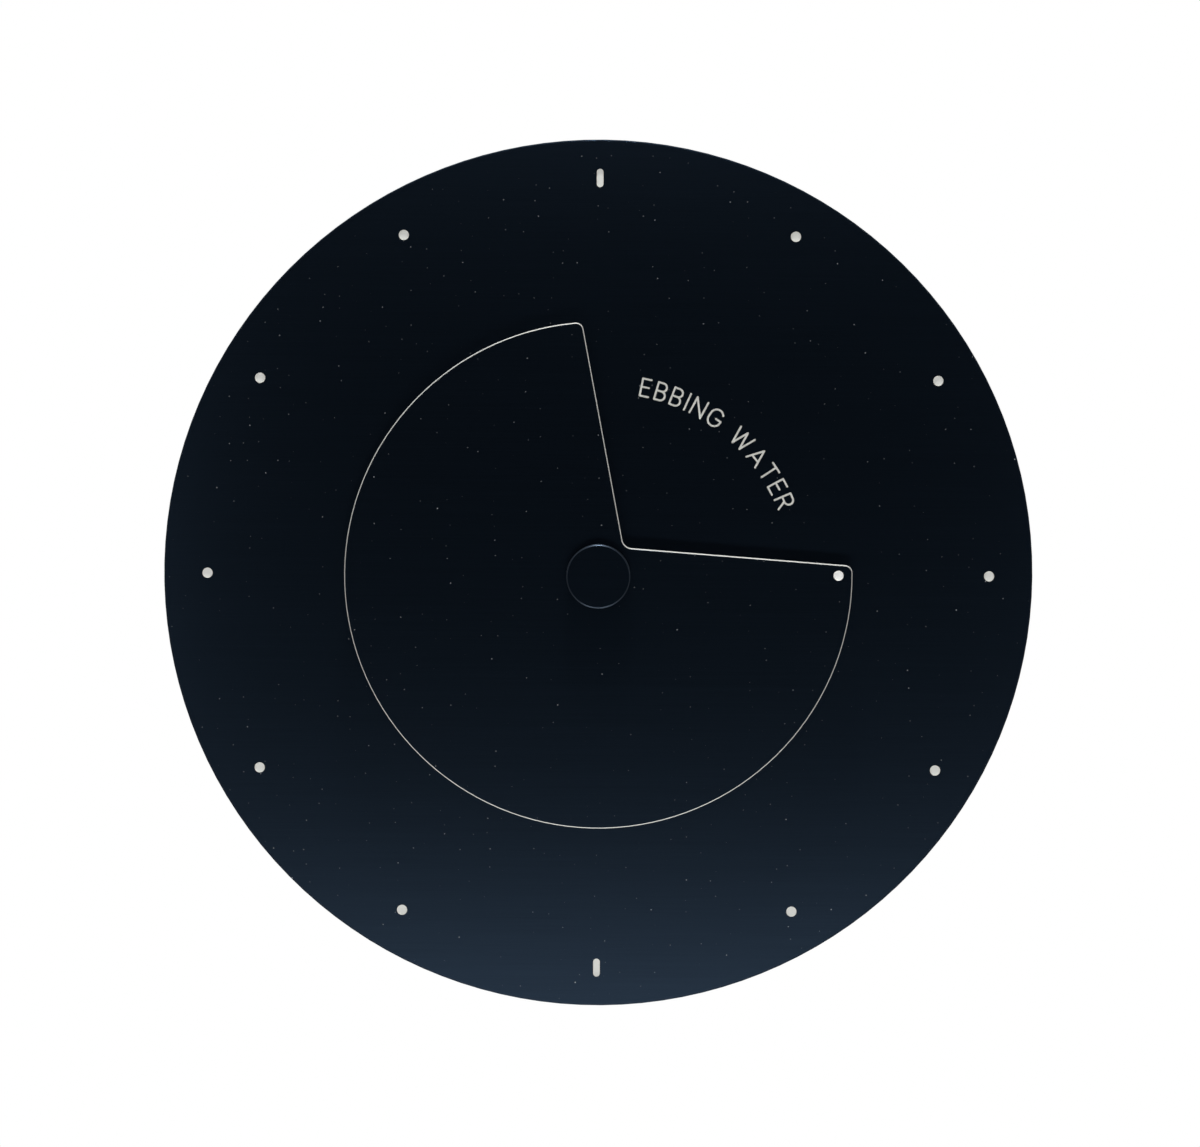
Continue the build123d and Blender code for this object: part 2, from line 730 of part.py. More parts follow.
with BuildPart() as coil_bobbin:
    with BuildSketch(bobbin_plane.offset(bobbin_low)) as bobbin_foot:
        Circle(bobbin_flange_radius)
    extrude(amount=bobbin_flange_thickness)
    with BuildSketch(bobbin_plane.offset(bobbin_high - bobbin_flange_thickness)) as bobbin_head:
        Circle(bobbin_flange_radius)
    extrude(amount=bobbin_flange_thickness)
    with BuildSketch(bobbin_plane.offset(bobbin_low)) as bobbin_tube:
        Circle(bobbin_tube_radius)
    extrude(amount=bobbin_high - bobbin_low)
    with BuildSketch(bobbin_plane.offset(bobbin_low - overrun)) as bobbin_window:
        Rectangle(core_width, core_thickness)
    extrude(amount=bobbin_high - bobbin_low + 2 * overrun, mode=Mode.SUBTRACT)
finish(coil_bobbin.part, "coil_bobbin")

with BuildPart() as coil_winding:
    with BuildSketch(bobbin_plane.offset(bobbin_low + bobbin_flange_thickness)) as winding_outline:
        Circle(winding_radius)
        Circle(bobbin_tube_radius, mode=Mode.SUBTRACT)
    extrude(amount=bobbin_high - bobbin_low - 2 * bobbin_flange_thickness)
finish(coil_winding.part, "coil_winding")

# Bearing plate
with BuildPart() as middle_plate:
    with BuildSketch(at(plate_back)) as plate_outline:
        with Locations(((plate_left + plate_right) / 2, (plate_bottom + plate_top) / 2)):
            RectangleRounded(plate_right - plate_left, plate_top - plate_bottom, plate_corner_radius)
        Circle(arbor_front_radius + running_gap, mode=Mode.SUBTRACT)
        with Locations(*train_centres):
            Circle(pivot_radius + running_gap, mode=Mode.SUBTRACT)
        with Locations(minute_centre):
            Circle(minute_pivot_radius + running_gap, mode=Mode.SUBTRACT)
        with Locations(*post_places):
            Circle(peg_diameter / 2 + fit_gap, mode=Mode.SUBTRACT)
    extrude(amount=plate_thickness)
finish(middle_plate.part, "middle_plate")

# Circuit board with its chip and crystal on the back
with BuildPart() as circuit_board:
    box_layer(board_back, plate_back, board_left, board_right, board_bottom, board_top)
finish(circuit_board.part, "circuit_board")

with BuildPart() as control_chip:
    round_layer(board_back - chip_height, board_back, chip_radius, chip_place)
    fillet(control_chip.faces().sort_by(Axis.Y)[-1].edges(), chip_height / 2)
finish(control_chip.part, "control_chip")

with BuildPart() as quartz_crystal:
    crystal_x, crystal_z = crystal_place
    crystal_plane = Plane((crystal_x, clock_depth / 2 - board_back + crystal_radius, crystal_z))
    with BuildSketch(crystal_plane) as crystal_can:
        Circle(crystal_radius)
    extrude(amount=crystal_length)
    lead_low = crystal_z + crystal_length
    for side in (-1, 1):
        lead_x = crystal_x + side * crystal_radius / 2
        lead_edges = (lead_x - crystal_lead_width / 2, lead_x + crystal_lead_width / 2)
        lead_back = board_back - crystal_radius
        box_layer(lead_back, board_back, *lead_edges, lead_low, lead_low + crystal_leads)
finish(quartz_crystal.part, "quartz_crystal")

# Front shell: walls, partition over the battery bay, posts with pegs, and the nose hole
with BuildPart() as front_shell:
    with BuildSketch(at(0)) as case_outline:
        RectangleRounded(case_size, case_size, case_corner_radius)
    extrude(amount=case_depth)
    fillet(front_shell.faces().sort_by(Axis.Y)[0].edges(), case_front_fillet)
    chamfer(front_shell.faces().sort_by(Axis.Y)[-1].edges(), case_rear_chamfer)
    with BuildSketch(at(-overrun)) as case_hollow:
        RectangleRounded(2 * inside_half, 2 * inside_half, case_corner_radius - case_wall)
    extrude(amount=case_inside_front + overrun, mode=Mode.SUBTRACT)
    partition_bottom = partition_height - partition_thickness
    box_layer(0, case_inside_front, -inside_half, inside_half, partition_bottom, partition_height)
    for post in post_places:
        round_layer(plate_front, case_inside_front, post_diameter / 2, post)
        round_layer(plate_back, plate_front, peg_diameter / 2, post)
    nose_hole = nose_diameter / 2 + fit_gap
    round_layer(case_inside_front - overrun, case_depth + overrun, nose_hole, mode=Mode.SUBTRACT)
    pivot_hole = minute_pivot_radius + running_gap
    pivot_depths = (case_inside_front - overrun, case_inside_front + pivot_length)
    round_layer(*pivot_depths, pivot_hole, minute_centre, Mode.SUBTRACT)
    tab_half = tab_width / 2 + cover_gap
    box_layer(
        -overrun, cover_front + cover_gap, -tab_half, tab_half, inside_half - overrun, case_half + overrun,
        Mode.SUBTRACT,
    )
    for side in (-1, 1):
        wall_edges = sorted((side * (inside_half - overrun), side * (inside_half + snap_reach)))
        snap_half = snap_height / 2 + cover_gap
        box_layer(-overrun, cover_front + cover_gap, *wall_edges, -snap_half, snap_half, Mode.SUBTRACT)
        slit_edges = sorted((side * (inside_half - contact_thickness - 2 * slit_gap), side * inside_half))
        slit_depths = (contact_foot_back - slit_gap, contact_foot_front + slit_gap)
        slit_ends = (partition_bottom - overrun, partition_height + overrun)
        box_layer(*slit_depths, *slit_edges, *slit_ends, Mode.SUBTRACT)
finish(front_shell.part, "front_shell")

# Rear cover: plate with snap tabs, knob well, posts, pivot holes and the hanging tab
with BuildPart() as rear_cover:
    with BuildSketch(at(0)) as cover_outline:
        with Locations((0, (cover_bottom + cover_half) / 2)):
            Rectangle(2 * cover_half, cover_half - cover_bottom)
        top_corners = cover_outline.vertices().group_by(Axis.Y)[-1]
        fillet(top_corners, case_corner_radius - case_wall)
        with Locations((0, 0)):
            Rectangle(2 * (inside_half + snap_reach - cover_gap), snap_height)
        with Locations((0, (cover_half + tab_top) / 2)):
            Rectangle(tab_width, tab_top - cover_half)
        fillet(cover_outline.vertices().group_by(Axis.Y)[-1], tab_corner_radius)
    extrude(amount=cover_thickness)
    chamfer(rear_cover.faces().sort_by(Axis.Y)[-1].edges(), cover_edge_chamfer)
    round_layer(0, well_depth + well_wall, well_diameter / 2 + well_wall)
    round_layer(-overrun, well_depth, well_diameter / 2, mode=Mode.SUBTRACT)
    arbor_hole = arbor_back_radius + running_gap
    round_layer(well_depth - overrun, well_depth + well_wall + overrun, arbor_hole, mode=Mode.SUBTRACT)
    for post in post_places:
        round_layer(cover_front, plate_back, post_diameter / 2, post)
    for centre in train_centres:
        pivot_depths = (cover_front - pivot_length, cover_front + overrun)
        round_layer(*pivot_depths, pivot_radius + running_gap, centre, Mode.SUBTRACT)
    with BuildSketch(at(-overrun)) as keyhole:
        with Locations((0, keyhole_height)):
            Circle(keyhole_diameter / 2)
        with Locations((0, keyhole_height + keyhole_slot_rise / 2)):
            SlotCenterToCenter(keyhole_slot_rise, keyhole_slot_width, rotation=90)
    extrude(amount=cover_thickness + 2 * overrun, mode=Mode.SUBTRACT)
    with BuildSketch(at(-overrun)) as cover_marks:
        arrow_radius = well_diameter / 2 + arrow_ring_gap
        add(arc_face(arrow_radius, arrow_start, arrow_sweep, cover_mark_stroke))
        for end, heading in ((arrow_start, 1), (arrow_start + arrow_sweep, -1)):
            tip_x, tip_y = arrow_radius * cos(radians(end)), arrow_radius * sin(radians(end))
            for side in (-1, 1):
                away = radians(end + heading * 90 + side * arrow_barb_angle)
                barb_x, barb_y = tip_x + arrow_barb * cos(away), tip_y + arrow_barb * sin(away)
                strip(tip_x, tip_y, barb_x, barb_y, cover_mark_stroke)
        sign_height = partition_height + sign_rise
        half_sign = sign_size / 2
        for side in (-1, 1):
            strip(side * sign_place - half_sign, sign_height, side * sign_place + half_sign, sign_height,
                  cover_mark_stroke)
        strip(-sign_place, sign_height - half_sign, -sign_place, sign_height + half_sign, cover_mark_stroke)
    extrude(amount=overrun + cover_mark_depth, mode=Mode.SUBTRACT)
finish(rear_cover.part, "rear_cover")

# Nose of the movement: flange inside the case, thread grooves outside it
with BuildPart() as threaded_bushing:
    flange_back = case_inside_front - nose_flange_thickness
    round_layer(flange_back, case_inside_front, nose_flange_diameter / 2)
    round_layer(case_inside_front, nose_front, nose_diameter / 2)
    round_layer(flange_back - overrun, nose_front + overrun, tube_radius + fit_gap, mode=Mode.SUBTRACT)
    with BuildSketch(Plane.XY) as thread_grooves:
        outer = nose_diameter / 2
        groove_count = int((nose_front - case_depth) / thread_pitch)
        for groove in range(groove_count):
            middle = clock_depth / 2 - nose_front + (groove + 0.5) * thread_pitch
            with BuildLine():
                Polyline(
                    (outer - thread_depth, middle),
                    (outer, middle - thread_pitch / 2),
                    (outer, middle + thread_pitch / 2),
                    close=True,
                )
            make_face()
    revolve(axis=Axis.Y, mode=Mode.SUBTRACT)
finish(threaded_bushing.part, "threaded_bushing")

with BuildPart() as rubber_washer:
    with BuildSketch(at(case_depth)) as rubber_outline:
        RectangleRounded(rubber_size, rubber_size, rubber_corner_radius)
        Circle(nose_diameter / 2 + fit_gap, mode=Mode.SUBTRACT)
    extrude(amount=rubber_thickness)
finish(rubber_washer.part, "rubber_washer")

with BuildPart() as brass_washer:
    round_layer(dial_front, nut_back, brass_washer_diameter / 2)
    round_layer(dial_front - overrun, nut_back + overrun, nose_diameter / 2 + fit_gap, mode=Mode.SUBTRACT)
finish(brass_washer.part, "brass_washer")

with BuildPart() as fixing_nut:
    with BuildSketch(at(nut_back)) as nut_outline:
        RegularPolygon(nut_across_flats / 2, 6, major_radius=False)
        Circle(nose_diameter / 2 + fit_gap, mode=Mode.SUBTRACT)
    extrude(amount=nut_thickness)
    chamfer(fixing_nut.faces().sort_by(Axis.Y)[0].outer_wire().edges(), nut_chamfer)
finish(fixing_nut.part, "fixing_nut")

# Battery: one AA cell lying along X, its button to the left
with BuildPart() as battery:
    can_left = battery_nub_length - battery_length / 2
    battery_axis_depth = clock_depth / 2 - battery_depth
    battery_plane = Plane((0, battery_axis_depth, battery_height), x_dir=(0, 0, 1), z_dir=(1, 0, 0))
    with BuildSketch(battery_plane.offset(can_left)) as battery_can:
        Circle(battery_diameter / 2)
    extrude(amount=battery_length / 2 - can_left)
    fillet(battery.edges().filter_by(GeomType.CIRCLE), battery_edge_fillet)
    with BuildSketch(battery_plane.offset(-battery_length / 2)) as battery_nub:
        Circle(battery_nub_diameter / 2)
    extrude(amount=battery_nub_length + battery_edge_fillet)
finish(battery.part, "battery")


def contact(side):
    """Leaf contact at one end of the bay: a foot against the wall and a bent leaf towards the battery."""
    wall_face = inside_half - slit_gap - contact_thickness / 2
    crown = battery_length / 2 + leaf_crown_gap + contact_thickness / 2
    middle = (leaf_back + leaf_front) / 2
    half_depth = clock_depth / 2
    low = battery_height - contact_height / 2
    leaf_end = wall_face - contact_thickness / 2
    with BuildSketch(Plane.XY.offset(low)) as leaf:
        with BuildLine():
            Polyline(
                (side * leaf_end, half_depth - leaf_front),
                (side * crown, half_depth - middle),
                (side * leaf_end, half_depth - leaf_back),
            )
        trace(line_width=contact_thickness)
    extrude(leaf.sketch, amount=contact_height)
    foot_edges = sorted((side * leaf_end, side * (leaf_end + contact_thickness)))
    foot_top = board_bottom + contact_overlap
    base_back, base_front = leaf_back - contact_thickness, leaf_front + contact_thickness
    box_layer(base_back, base_front, *foot_edges, low, low + contact_height)
    box_layer(contact_foot_back, contact_foot_front, *foot_edges, low, foot_top)


with BuildPart() as battery_contact_positive:
    contact(-1)
finish(battery_contact_positive.part, "battery_contact_positive")

# The negative contact carries a strip along the bearing plate to the circuit board
with BuildPart() as battery_contact_negative:
    contact(1)
    strip_back = plate_back - contact_thickness
    strip_right = inside_half - slit_gap
    strip_top = board_bottom + contact_overlap
    box_layer(strip_back, plate_back, board_right, strip_right, board_bottom, strip_top)
finish(battery_contact_negative.part, "battery_contact_negative")
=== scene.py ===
"""Looks of the tide clock: finishes, the detailed cell, room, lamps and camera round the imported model.

Metres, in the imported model's frame: the dial faces -Y, +Z is up, the hand turns on the Y axis.
"""

import logging
import math
from dataclasses import dataclass
from enum import Enum
from typing import NamedTuple, Optional, Sequence

import bmesh
import bpy
import numpy as np
from mathutils import Matrix, Vector

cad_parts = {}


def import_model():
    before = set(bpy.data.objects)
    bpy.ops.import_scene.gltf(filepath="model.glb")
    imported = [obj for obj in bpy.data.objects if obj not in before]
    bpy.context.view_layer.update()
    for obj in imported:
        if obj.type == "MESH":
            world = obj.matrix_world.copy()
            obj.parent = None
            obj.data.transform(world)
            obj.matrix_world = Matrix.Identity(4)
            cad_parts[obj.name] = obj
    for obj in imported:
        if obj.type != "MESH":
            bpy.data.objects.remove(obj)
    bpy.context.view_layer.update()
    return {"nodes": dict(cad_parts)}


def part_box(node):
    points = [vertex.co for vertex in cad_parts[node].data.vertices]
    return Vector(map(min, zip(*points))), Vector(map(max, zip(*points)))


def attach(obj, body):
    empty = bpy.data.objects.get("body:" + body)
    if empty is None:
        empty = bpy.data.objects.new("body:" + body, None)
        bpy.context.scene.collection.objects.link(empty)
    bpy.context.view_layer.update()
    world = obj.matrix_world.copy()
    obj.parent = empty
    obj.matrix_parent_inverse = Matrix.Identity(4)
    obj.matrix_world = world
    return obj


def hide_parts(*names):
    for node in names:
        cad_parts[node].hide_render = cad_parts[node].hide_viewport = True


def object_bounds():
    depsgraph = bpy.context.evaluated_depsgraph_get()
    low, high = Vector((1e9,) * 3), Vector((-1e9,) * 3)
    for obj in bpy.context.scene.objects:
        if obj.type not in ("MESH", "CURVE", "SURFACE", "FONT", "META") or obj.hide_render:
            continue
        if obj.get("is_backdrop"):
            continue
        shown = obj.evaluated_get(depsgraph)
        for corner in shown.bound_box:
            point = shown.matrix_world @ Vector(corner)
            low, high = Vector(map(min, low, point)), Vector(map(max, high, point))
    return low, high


log = logging.getLogger("tide_clock")

Colour = tuple[float, float, float]
Span = tuple[float, float]
Socket = bpy.types.NodeSocket
MILLIMETRE = 0.001
MERGE_DISTANCE = 1e-7
WHITE = (1.0, 1.0, 1.0)
UP = (0.0, 0.0, 1.0)
# The stretch in which nearly all of a noise's values lie
MOST_NOISE = (0.3, 0.7)


class Grain(Enum):
    """How the fine lines of a metal finish run."""

    BRUSHED = "brushed across"
    TURNED = "turned on a lathe"
    ROLLED = "rolled sheet"


class Noise(NamedTuple):
    """A noise texture's scale, its octaves, and how strong the finer ones are."""

    scale: float
    detail: float = 2.0
    rough: float = 0.5


# The noise of all grain lines, whose coordinates are scaled beforehand
LINE_NOISE = Noise(1.0, 3.0, 0.6)


# Shader trees
class Tree:
    """A small hand for building a node tree: makes nodes, sets their sockets and joins them."""

    def __init__(self, tree: bpy.types.NodeTree) -> None:
        """Hold the tree that is built."""
        self.tree = tree

    def node(self, kind: str, sockets: Optional[dict] = None, **settings: object) -> bpy.types.Node:
        """Add a node.

        Args:
            kind: the node's bpy type, without its ShaderNode prefix.
            sockets: input name or number to a value or to a socket that feeds it.
            settings: attributes of the node, such as operation.

        Returns:
            The new node.
        """
        made = self.tree.nodes.new("ShaderNode" + kind)
        for name, value in settings.items():
            setattr(made, name, value)
        for name, value in (sockets or {}).items():
            self.feed(made.inputs[name], value)
        return made

    def feed(self, target: Socket, value: object) -> None:
        """Set a socket to a constant, or join another socket to it.

        Args:
            target: the input socket.
            value: a socket to join, a number, or a colour or vector.
        """
        if isinstance(value, bpy.types.NodeSocket):
            self.tree.links.new(value, target)
        elif isinstance(value, (tuple, list)) and target.type == "RGBA":
            target.default_value = (*value, 1.0)
        else:
            target.default_value = value

    def calc(self, operation: str, first: object, second: object = 0.0) -> Socket:
        """Return the result of one Math node."""
        return self.node("Math", {0: first, 1: second}, operation=operation).outputs[0]

    def remap(
        self, value: object, low: float, high: float, to_low: float = 0.0, to_high: float = 1.0
    ) -> Socket:
        """Return a value moved from one range to another and held inside it."""
        places = {"Value": value, "From Min": low, "From Max": high, "To Min": to_low, "To Max": to_high}
        return self.node("MapRange", places, clamp=True).outputs[0]

    def mix(self, share: object, first: object, second: object) -> Socket:
        """Return a colour mixed between two by a share."""
        return self.node("Mix", {0: share, 6: first, 7: second}, data_type="RGBA").outputs[2]

    def noise(self, vector: Socket, scale: object, detail: float = 2.0, rough: float = 0.5) -> Socket:
        """Return the value of a noise texture."""
        places = {"Vector": vector, "Scale": scale, "Detail": detail, "Roughness": rough}
        return self.node("TexNoise", places).outputs["Fac"]

    def split(self, vector: Socket) -> bpy.types.NodeOutputs:
        """Return the three coordinates of a vector."""
        return self.node("SeparateXYZ", {0: vector}).outputs

    def join(self, x: object, y: object, z: object) -> Socket:
        """Return a vector made of three values."""
        return self.node("CombineXYZ", {0: x, 1: y, 2: z}).outputs[0]

    def length(self, first: Socket, second: Socket) -> Socket:
        """Return the root of the sum of two squares."""
        squares = [self.calc("MULTIPLY", side, side) for side in (first, second)]
        return self.calc("SQRT", self.calc("ADD", *squares))

    def between(self, value: Socket, low: float, high: float) -> Socket:
        """Return one where a value lies between two limits, and nothing elsewhere."""
        above = self.calc("GREATER_THAN", value, low)
        return self.calc("MULTIPLY", above, self.calc("LESS_THAN", value, high))


class Group(Tree):
    """A shader node group with named inputs and outputs, built once and placed in many materials."""

    def __init__(self, name: str, inputs: dict[str, float], outputs: Sequence[str]) -> None:
        """Make the group.

        Args:
            name: the group's name.
            inputs: name of each number that it takes, and its default; each group also takes a Place.
            outputs: names of the values that it puts out.
        """
        super().__init__(bpy.data.node_groups.new(name, "ShaderNodeTree"))
        face = self.tree.interface
        face.new_socket(name="Place", in_out="INPUT", socket_type="NodeSocketVector")
        for label, default in inputs.items():
            made = face.new_socket(name=label, in_out="INPUT", socket_type="NodeSocketFloat")
            made.default_value = default
        for label in outputs:
            face.new_socket(name=label, in_out="OUTPUT", socket_type="NodeSocketFloat")
        self.given = self.tree.nodes.new("NodeGroupInput").outputs
        self.result = self.tree.nodes.new("NodeGroupOutput").inputs

    def put(self, **results: Socket) -> "Group":
        """Join the group's outputs, and return the group."""
        for name, value in results.items():
            self.feed(self.result[name], value)
        return self

    def place(self, finish: "Finish", **sockets: object) -> bpy.types.NodeOutputs:
        """Put this group into a material.

        Args:
            finish: the material that gets it.
            sockets: input name to a value or a socket.

        Returns:
            The outputs of the group node.
        """
        made = finish.tree.nodes.new("ShaderNodeGroup")
        made.node_tree = self.tree
        finish.feed(made.inputs["Place"], finish.place)
        for name, value in sockets.items():
            finish.feed(made.inputs[name], value)
        return made.outputs


def build_brush_lines() -> Group:
    """Brushed face: noise stretched far along X and crowded along Z, a fine set over a broad one."""
    group = Group("brush lines", {"Fine": 3200.0, "Broad": 420.0}, ("Height", "Tone"))
    depth_scale, fine_share, tones = 900.0, 0.75, (0.32, 0.68)
    place = group.split(group.given["Place"])
    sets = []
    for density, along_scale in (("Fine", 26.0), ("Broad", 7.0)):
        along = group.calc("MULTIPLY", place[0], along_scale)
        depth = group.calc("MULTIPLY", place[1], depth_scale)
        across = group.calc("MULTIPLY", place[2], group.given[density])
        sets.append(group.noise(group.join(along, depth, across), *LINE_NOISE))
    fine, broad = sets
    shares = (group.calc("MULTIPLY", fine, fine_share), group.calc("MULTIPLY", broad, 1 - fine_share))
    return group.put(Height=fine, Tone=group.remap(group.calc("ADD", *shares), *tones))


def build_turned_lines() -> Group:
    """Rings left by a lathe about the Y axis: noise that changes with the radius, hardly with the angle."""
    group = Group("turned lines", {"Fine": 4000.0}, ("Height", "Tone"))
    place = group.split(group.given["Place"])
    radius = group.calc("MULTIPLY", group.length(place[0], place[2]), group.given["Fine"])
    depth = group.calc("MULTIPLY", place[1], group.given["Fine"])
    angle = group.calc("ARCTAN2", place[2], place[0])
    rings = group.noise(group.join(radius, depth, angle), *LINE_NOISE)
    return group.put(Height=rings, Tone=group.remap(rings, *MOST_NOISE))


def build_mould_grain() -> Group:
    """Moulded or rolled skin: a fine pebbled noise for the height, a broad one for the gloss."""
    group = Group("mould grain", {"Fine": 4500.0, "Broad": 90.0}, ("Height", "Tone"))
    broad_detail, broad_rough = 3.0, 0.55
    pebbles = group.noise(group.given["Place"], group.given["Fine"])
    broad = group.noise(group.given["Place"], group.given["Broad"], broad_detail, broad_rough)
    return group.put(Height=pebbles, Tone=group.remap(broad, *MOST_NOISE))


def build_dust() -> Group:
    """Dust: the middle of a few random flat cells, each a round speck of its own size and brightness.

    The cells are drawn on x and z, each with a share of y added, so that side faces show them too.
    """
    group = Group("dust", {"Density": 230.0, "Size": 0.04, "Share": 0.5}, ("Mask",))
    side_lean, rise_lean = 0.37, 0.61
    place = group.split(group.given["Place"])
    side = group.calc("ADD", place[0], group.calc("MULTIPLY", place[1], side_lean))
    rise = group.calc("ADD", place[2], group.calc("MULTIPLY", place[1], rise_lean))
    places = {"Vector": group.join(side, rise, 0.0), "Scale": group.given["Density"]}
    cells = group.node("TexVoronoi", places, voronoi_dimensions="2D").outputs
    chance = group.node("SeparateColor", {0: cells["Color"]}).outputs
    reach = group.calc("MULTIPLY", group.given["Size"], chance[1])
    near = group.calc("LESS_THAN", cells["Distance"], reach)
    chosen = group.calc("LESS_THAN", chance[0], group.given["Share"])
    return group.put(Mask=group.calc("MULTIPLY", group.calc("MULTIPLY", near, chosen), chance[2]))


@dataclass
class Effects:
    """The shared shader groups, each built once."""

    brush: Group
    turned: Group
    mould: Group
    dust: Group

    @classmethod
    def build(cls) -> "Effects":
        """Return all the groups."""
        return cls(build_brush_lines(), build_turned_lines(), build_mould_grain(), build_dust())

    def lines(self, finish: "Finish", grain: Grain) -> bpy.types.NodeOutputs:
        """Place the lines of a metal's grain.

        Args:
            finish: the material that gets them.
            grain: which way they run.

        Returns:
            The outputs Height and Tone.
        """
        if grain is Grain.BRUSHED:
            return self.brush.place(finish)
        if grain is Grain.TURNED:
            return self.turned.place(finish)
        return self.mould.place(finish, Fine=2600.0, Broad=160.0)


class Finish(Tree):
    """A material in the making, with its surface coordinates and its Principled shader."""

    def __init__(self, name: str) -> None:
        """Start an empty material of that name."""
        self.material = bpy.data.materials.new(name)
        self.material.use_nodes = True
        super().__init__(self.material.node_tree)
        self.tree.nodes.clear()
        self.shader = self.node("BsdfPrincipled")
        self.output = self.node("OutputMaterial", {"Surface": self.shader.outputs[0]})
        self.place = self.node("TexCoord").outputs["Object"]

    def set(self, **sockets: object) -> None:
        """Set the shader's sockets; an underscore stands for a space in a socket's name."""
        for name, value in sockets.items():
            self.feed(self.shader.inputs[name.replace("_", " ")], value)

    def bump(self, height: Socket, distance: float) -> None:
        """Raise the surface by a height, in metres at full height."""
        made = self.node("Bump", {"Height": height, "Distance": distance, "Strength": 1.0})
        self.feed(self.shader.inputs["Normal"], made.outputs[0])

    def stroke(self, direction: Sequence[float]) -> None:
        """Stretch highlights along a direction that turns with the piece."""
        kinds = {"vector_type": "VECTOR", "convert_from": "OBJECT", "convert_to": "WORLD"}
        turned = self.node("VectorTransform", {0: direction}, **kinds)
        self.feed(self.shader.inputs["Tangent"], turned.outputs[0])

    def radius(self) -> Socket:
        """Return the distance from the Y axis."""
        place = self.split(self.place)
        return self.length(place[0], place[2])

    def uneven(self, mask: Socket, value: float, swing: Span) -> Socket:
        """Return a value times a share that goes from one end of the swing to the other with a mask."""
        return self.remap(mask, 0.0, 1.0, value * swing[0], value * swing[1])


@dataclass(frozen=True)
class Cut:
    """Where a tool went through the dye: a stretch of depth along Y, and of radius from the Y axis.

    Past the rim's radius the edge was blasted matt before the dyeing. Within a reach of dot_x on the X axis
    the cut is filled with white paint.
    """

    front: float
    back: float
    inner: float = -1.0
    outer: float = 1.0
    rim: float = 1.0
    dot_x: float = 1.0
    dot_reach: float = 0.002

    def mask(self, finish: Finish) -> Socket:
        """Return one where the metal is cut, and nothing elsewhere."""
        depth = finish.between(finish.split(finish.place)[1], self.front, self.back)
        return finish.calc("MULTIPLY", depth, finish.between(finish.radius(), self.inner, self.outer))

    def dot(self, finish: Finish) -> Socket:
        """Return one round the painted dot on the X axis, and nothing elsewhere."""
        place = finish.split(finish.place)
        off = finish.length(finish.calc("SUBTRACT", place[0], self.dot_x), place[2])
        return finish.calc("LESS_THAN", off, self.dot_reach)


@dataclass(frozen=True)
class Anodised:
    """Brushed aluminium, dyed blue-black, with bare bright metal wherever it was cut afterwards."""

    colour: Colour = (0.0142, 0.0238, 0.0385)
    bare: Colour = (0.60, 0.605, 0.575)
    paint: Colour = (0.80, 0.80, 0.78)
    dust: Colour = (0.20, 0.22, 0.24)
    roughness: float = 0.285
    bare_metal: float = 0.25
    bare_roughness: float = 0.7
    stretch: float = 0.505
    line_depth: float = 0.0000006
    tone_swing: float = 0.09
    rim_roughness: float = 0.8
    speck_size: float = 0.042
    speck_share: float = 0.5

    def make(self, name: str, effects: Effects, cut: Cut) -> bpy.types.Material:
        """Build the material.

        Args:
            name: the material's name.
            effects: the shared groups.
            cut: where bare metal shows.

        Returns:
            The material.
        """
        finish = Finish(name)
        lines = effects.lines(finish, Grain.BRUSHED)
        specks = effects.dust.place(finish, Size=self.speck_size, Share=self.speck_share)["Mask"]
        bare = cut.mask(finish)
        rim = finish.calc("GREATER_THAN", finish.radius(), cut.rim)
        skin = finish.remap(rim, 0.0, 1.0, self.roughness, self.rim_roughness)
        deep, pale = toned(self.colour, 1 - self.tone_swing), toned(self.colour, 1 + self.tone_swing)
        dyed = finish.mix(lines["Tone"], deep, pale)
        dusty = finish.mix(specks, dyed, self.dust)
        filled = finish.mix(cut.dot(finish), self.bare, self.paint)
        undyed = finish.calc("MAXIMUM", bare, specks)
        finish.set(
            Base_Color=finish.mix(bare, dusty, filled),
            Metallic=finish.remap(undyed, 0.0, 1.0, 1.0, self.bare_metal),
            Roughness=finish.calc("MAXIMUM", skin, finish.calc("MULTIPLY", bare, self.bare_roughness)),
            Anisotropic=self.stretch,
        )
        finish.stroke(UP)
        finish.bump(lines["Height"], self.line_depth)
        return finish.material


def toned(colour: Colour, share: float) -> Colour:
    """Return a colour made lighter or darker by a share."""
    return (colour[0] * share, colour[1] * share, colour[2] * share)


@dataclass(frozen=True)
class BareMetal:
    """Brass, steel, nickel or copper with its grain and a thin, patchy tarnish."""

    colour: Colour
    tarnish: Colour
    roughness: float = 0.3
    stretch: float = 0.4
    line_depth: float = 0.0000015
    tarnish_share: float = 0.55
    tarnish_noise: Noise = Noise(240.0, 4.0, 0.6)
    tarnish_span: Span = (0.45, 0.75)
    gloss_swing: Span = (0.8, 1.3)

    def make(self, name: str, effects: Effects, grain: Grain) -> bpy.types.Material:
        """Build the material.

        Args:
            name: the material's name.
            effects: the shared groups.
            grain: which way its fine lines run.

        Returns:
            The material.
        """
        finish = Finish(name)
        lines = effects.lines(finish, grain)
        patches = finish.noise(finish.place, *self.tarnish_noise)
        stain = finish.remap(patches, *self.tarnish_span, 0.0, self.tarnish_share)
        finish.set(
            Base_Color=finish.mix(stain, self.colour, self.tarnish),
            Metallic=1.0,
            Roughness=finish.uneven(lines["Tone"], self.roughness, self.gloss_swing),
            Anisotropic=self.stretch,
        )
        finish.bump(lines["Height"], self.line_depth)
        return finish.material


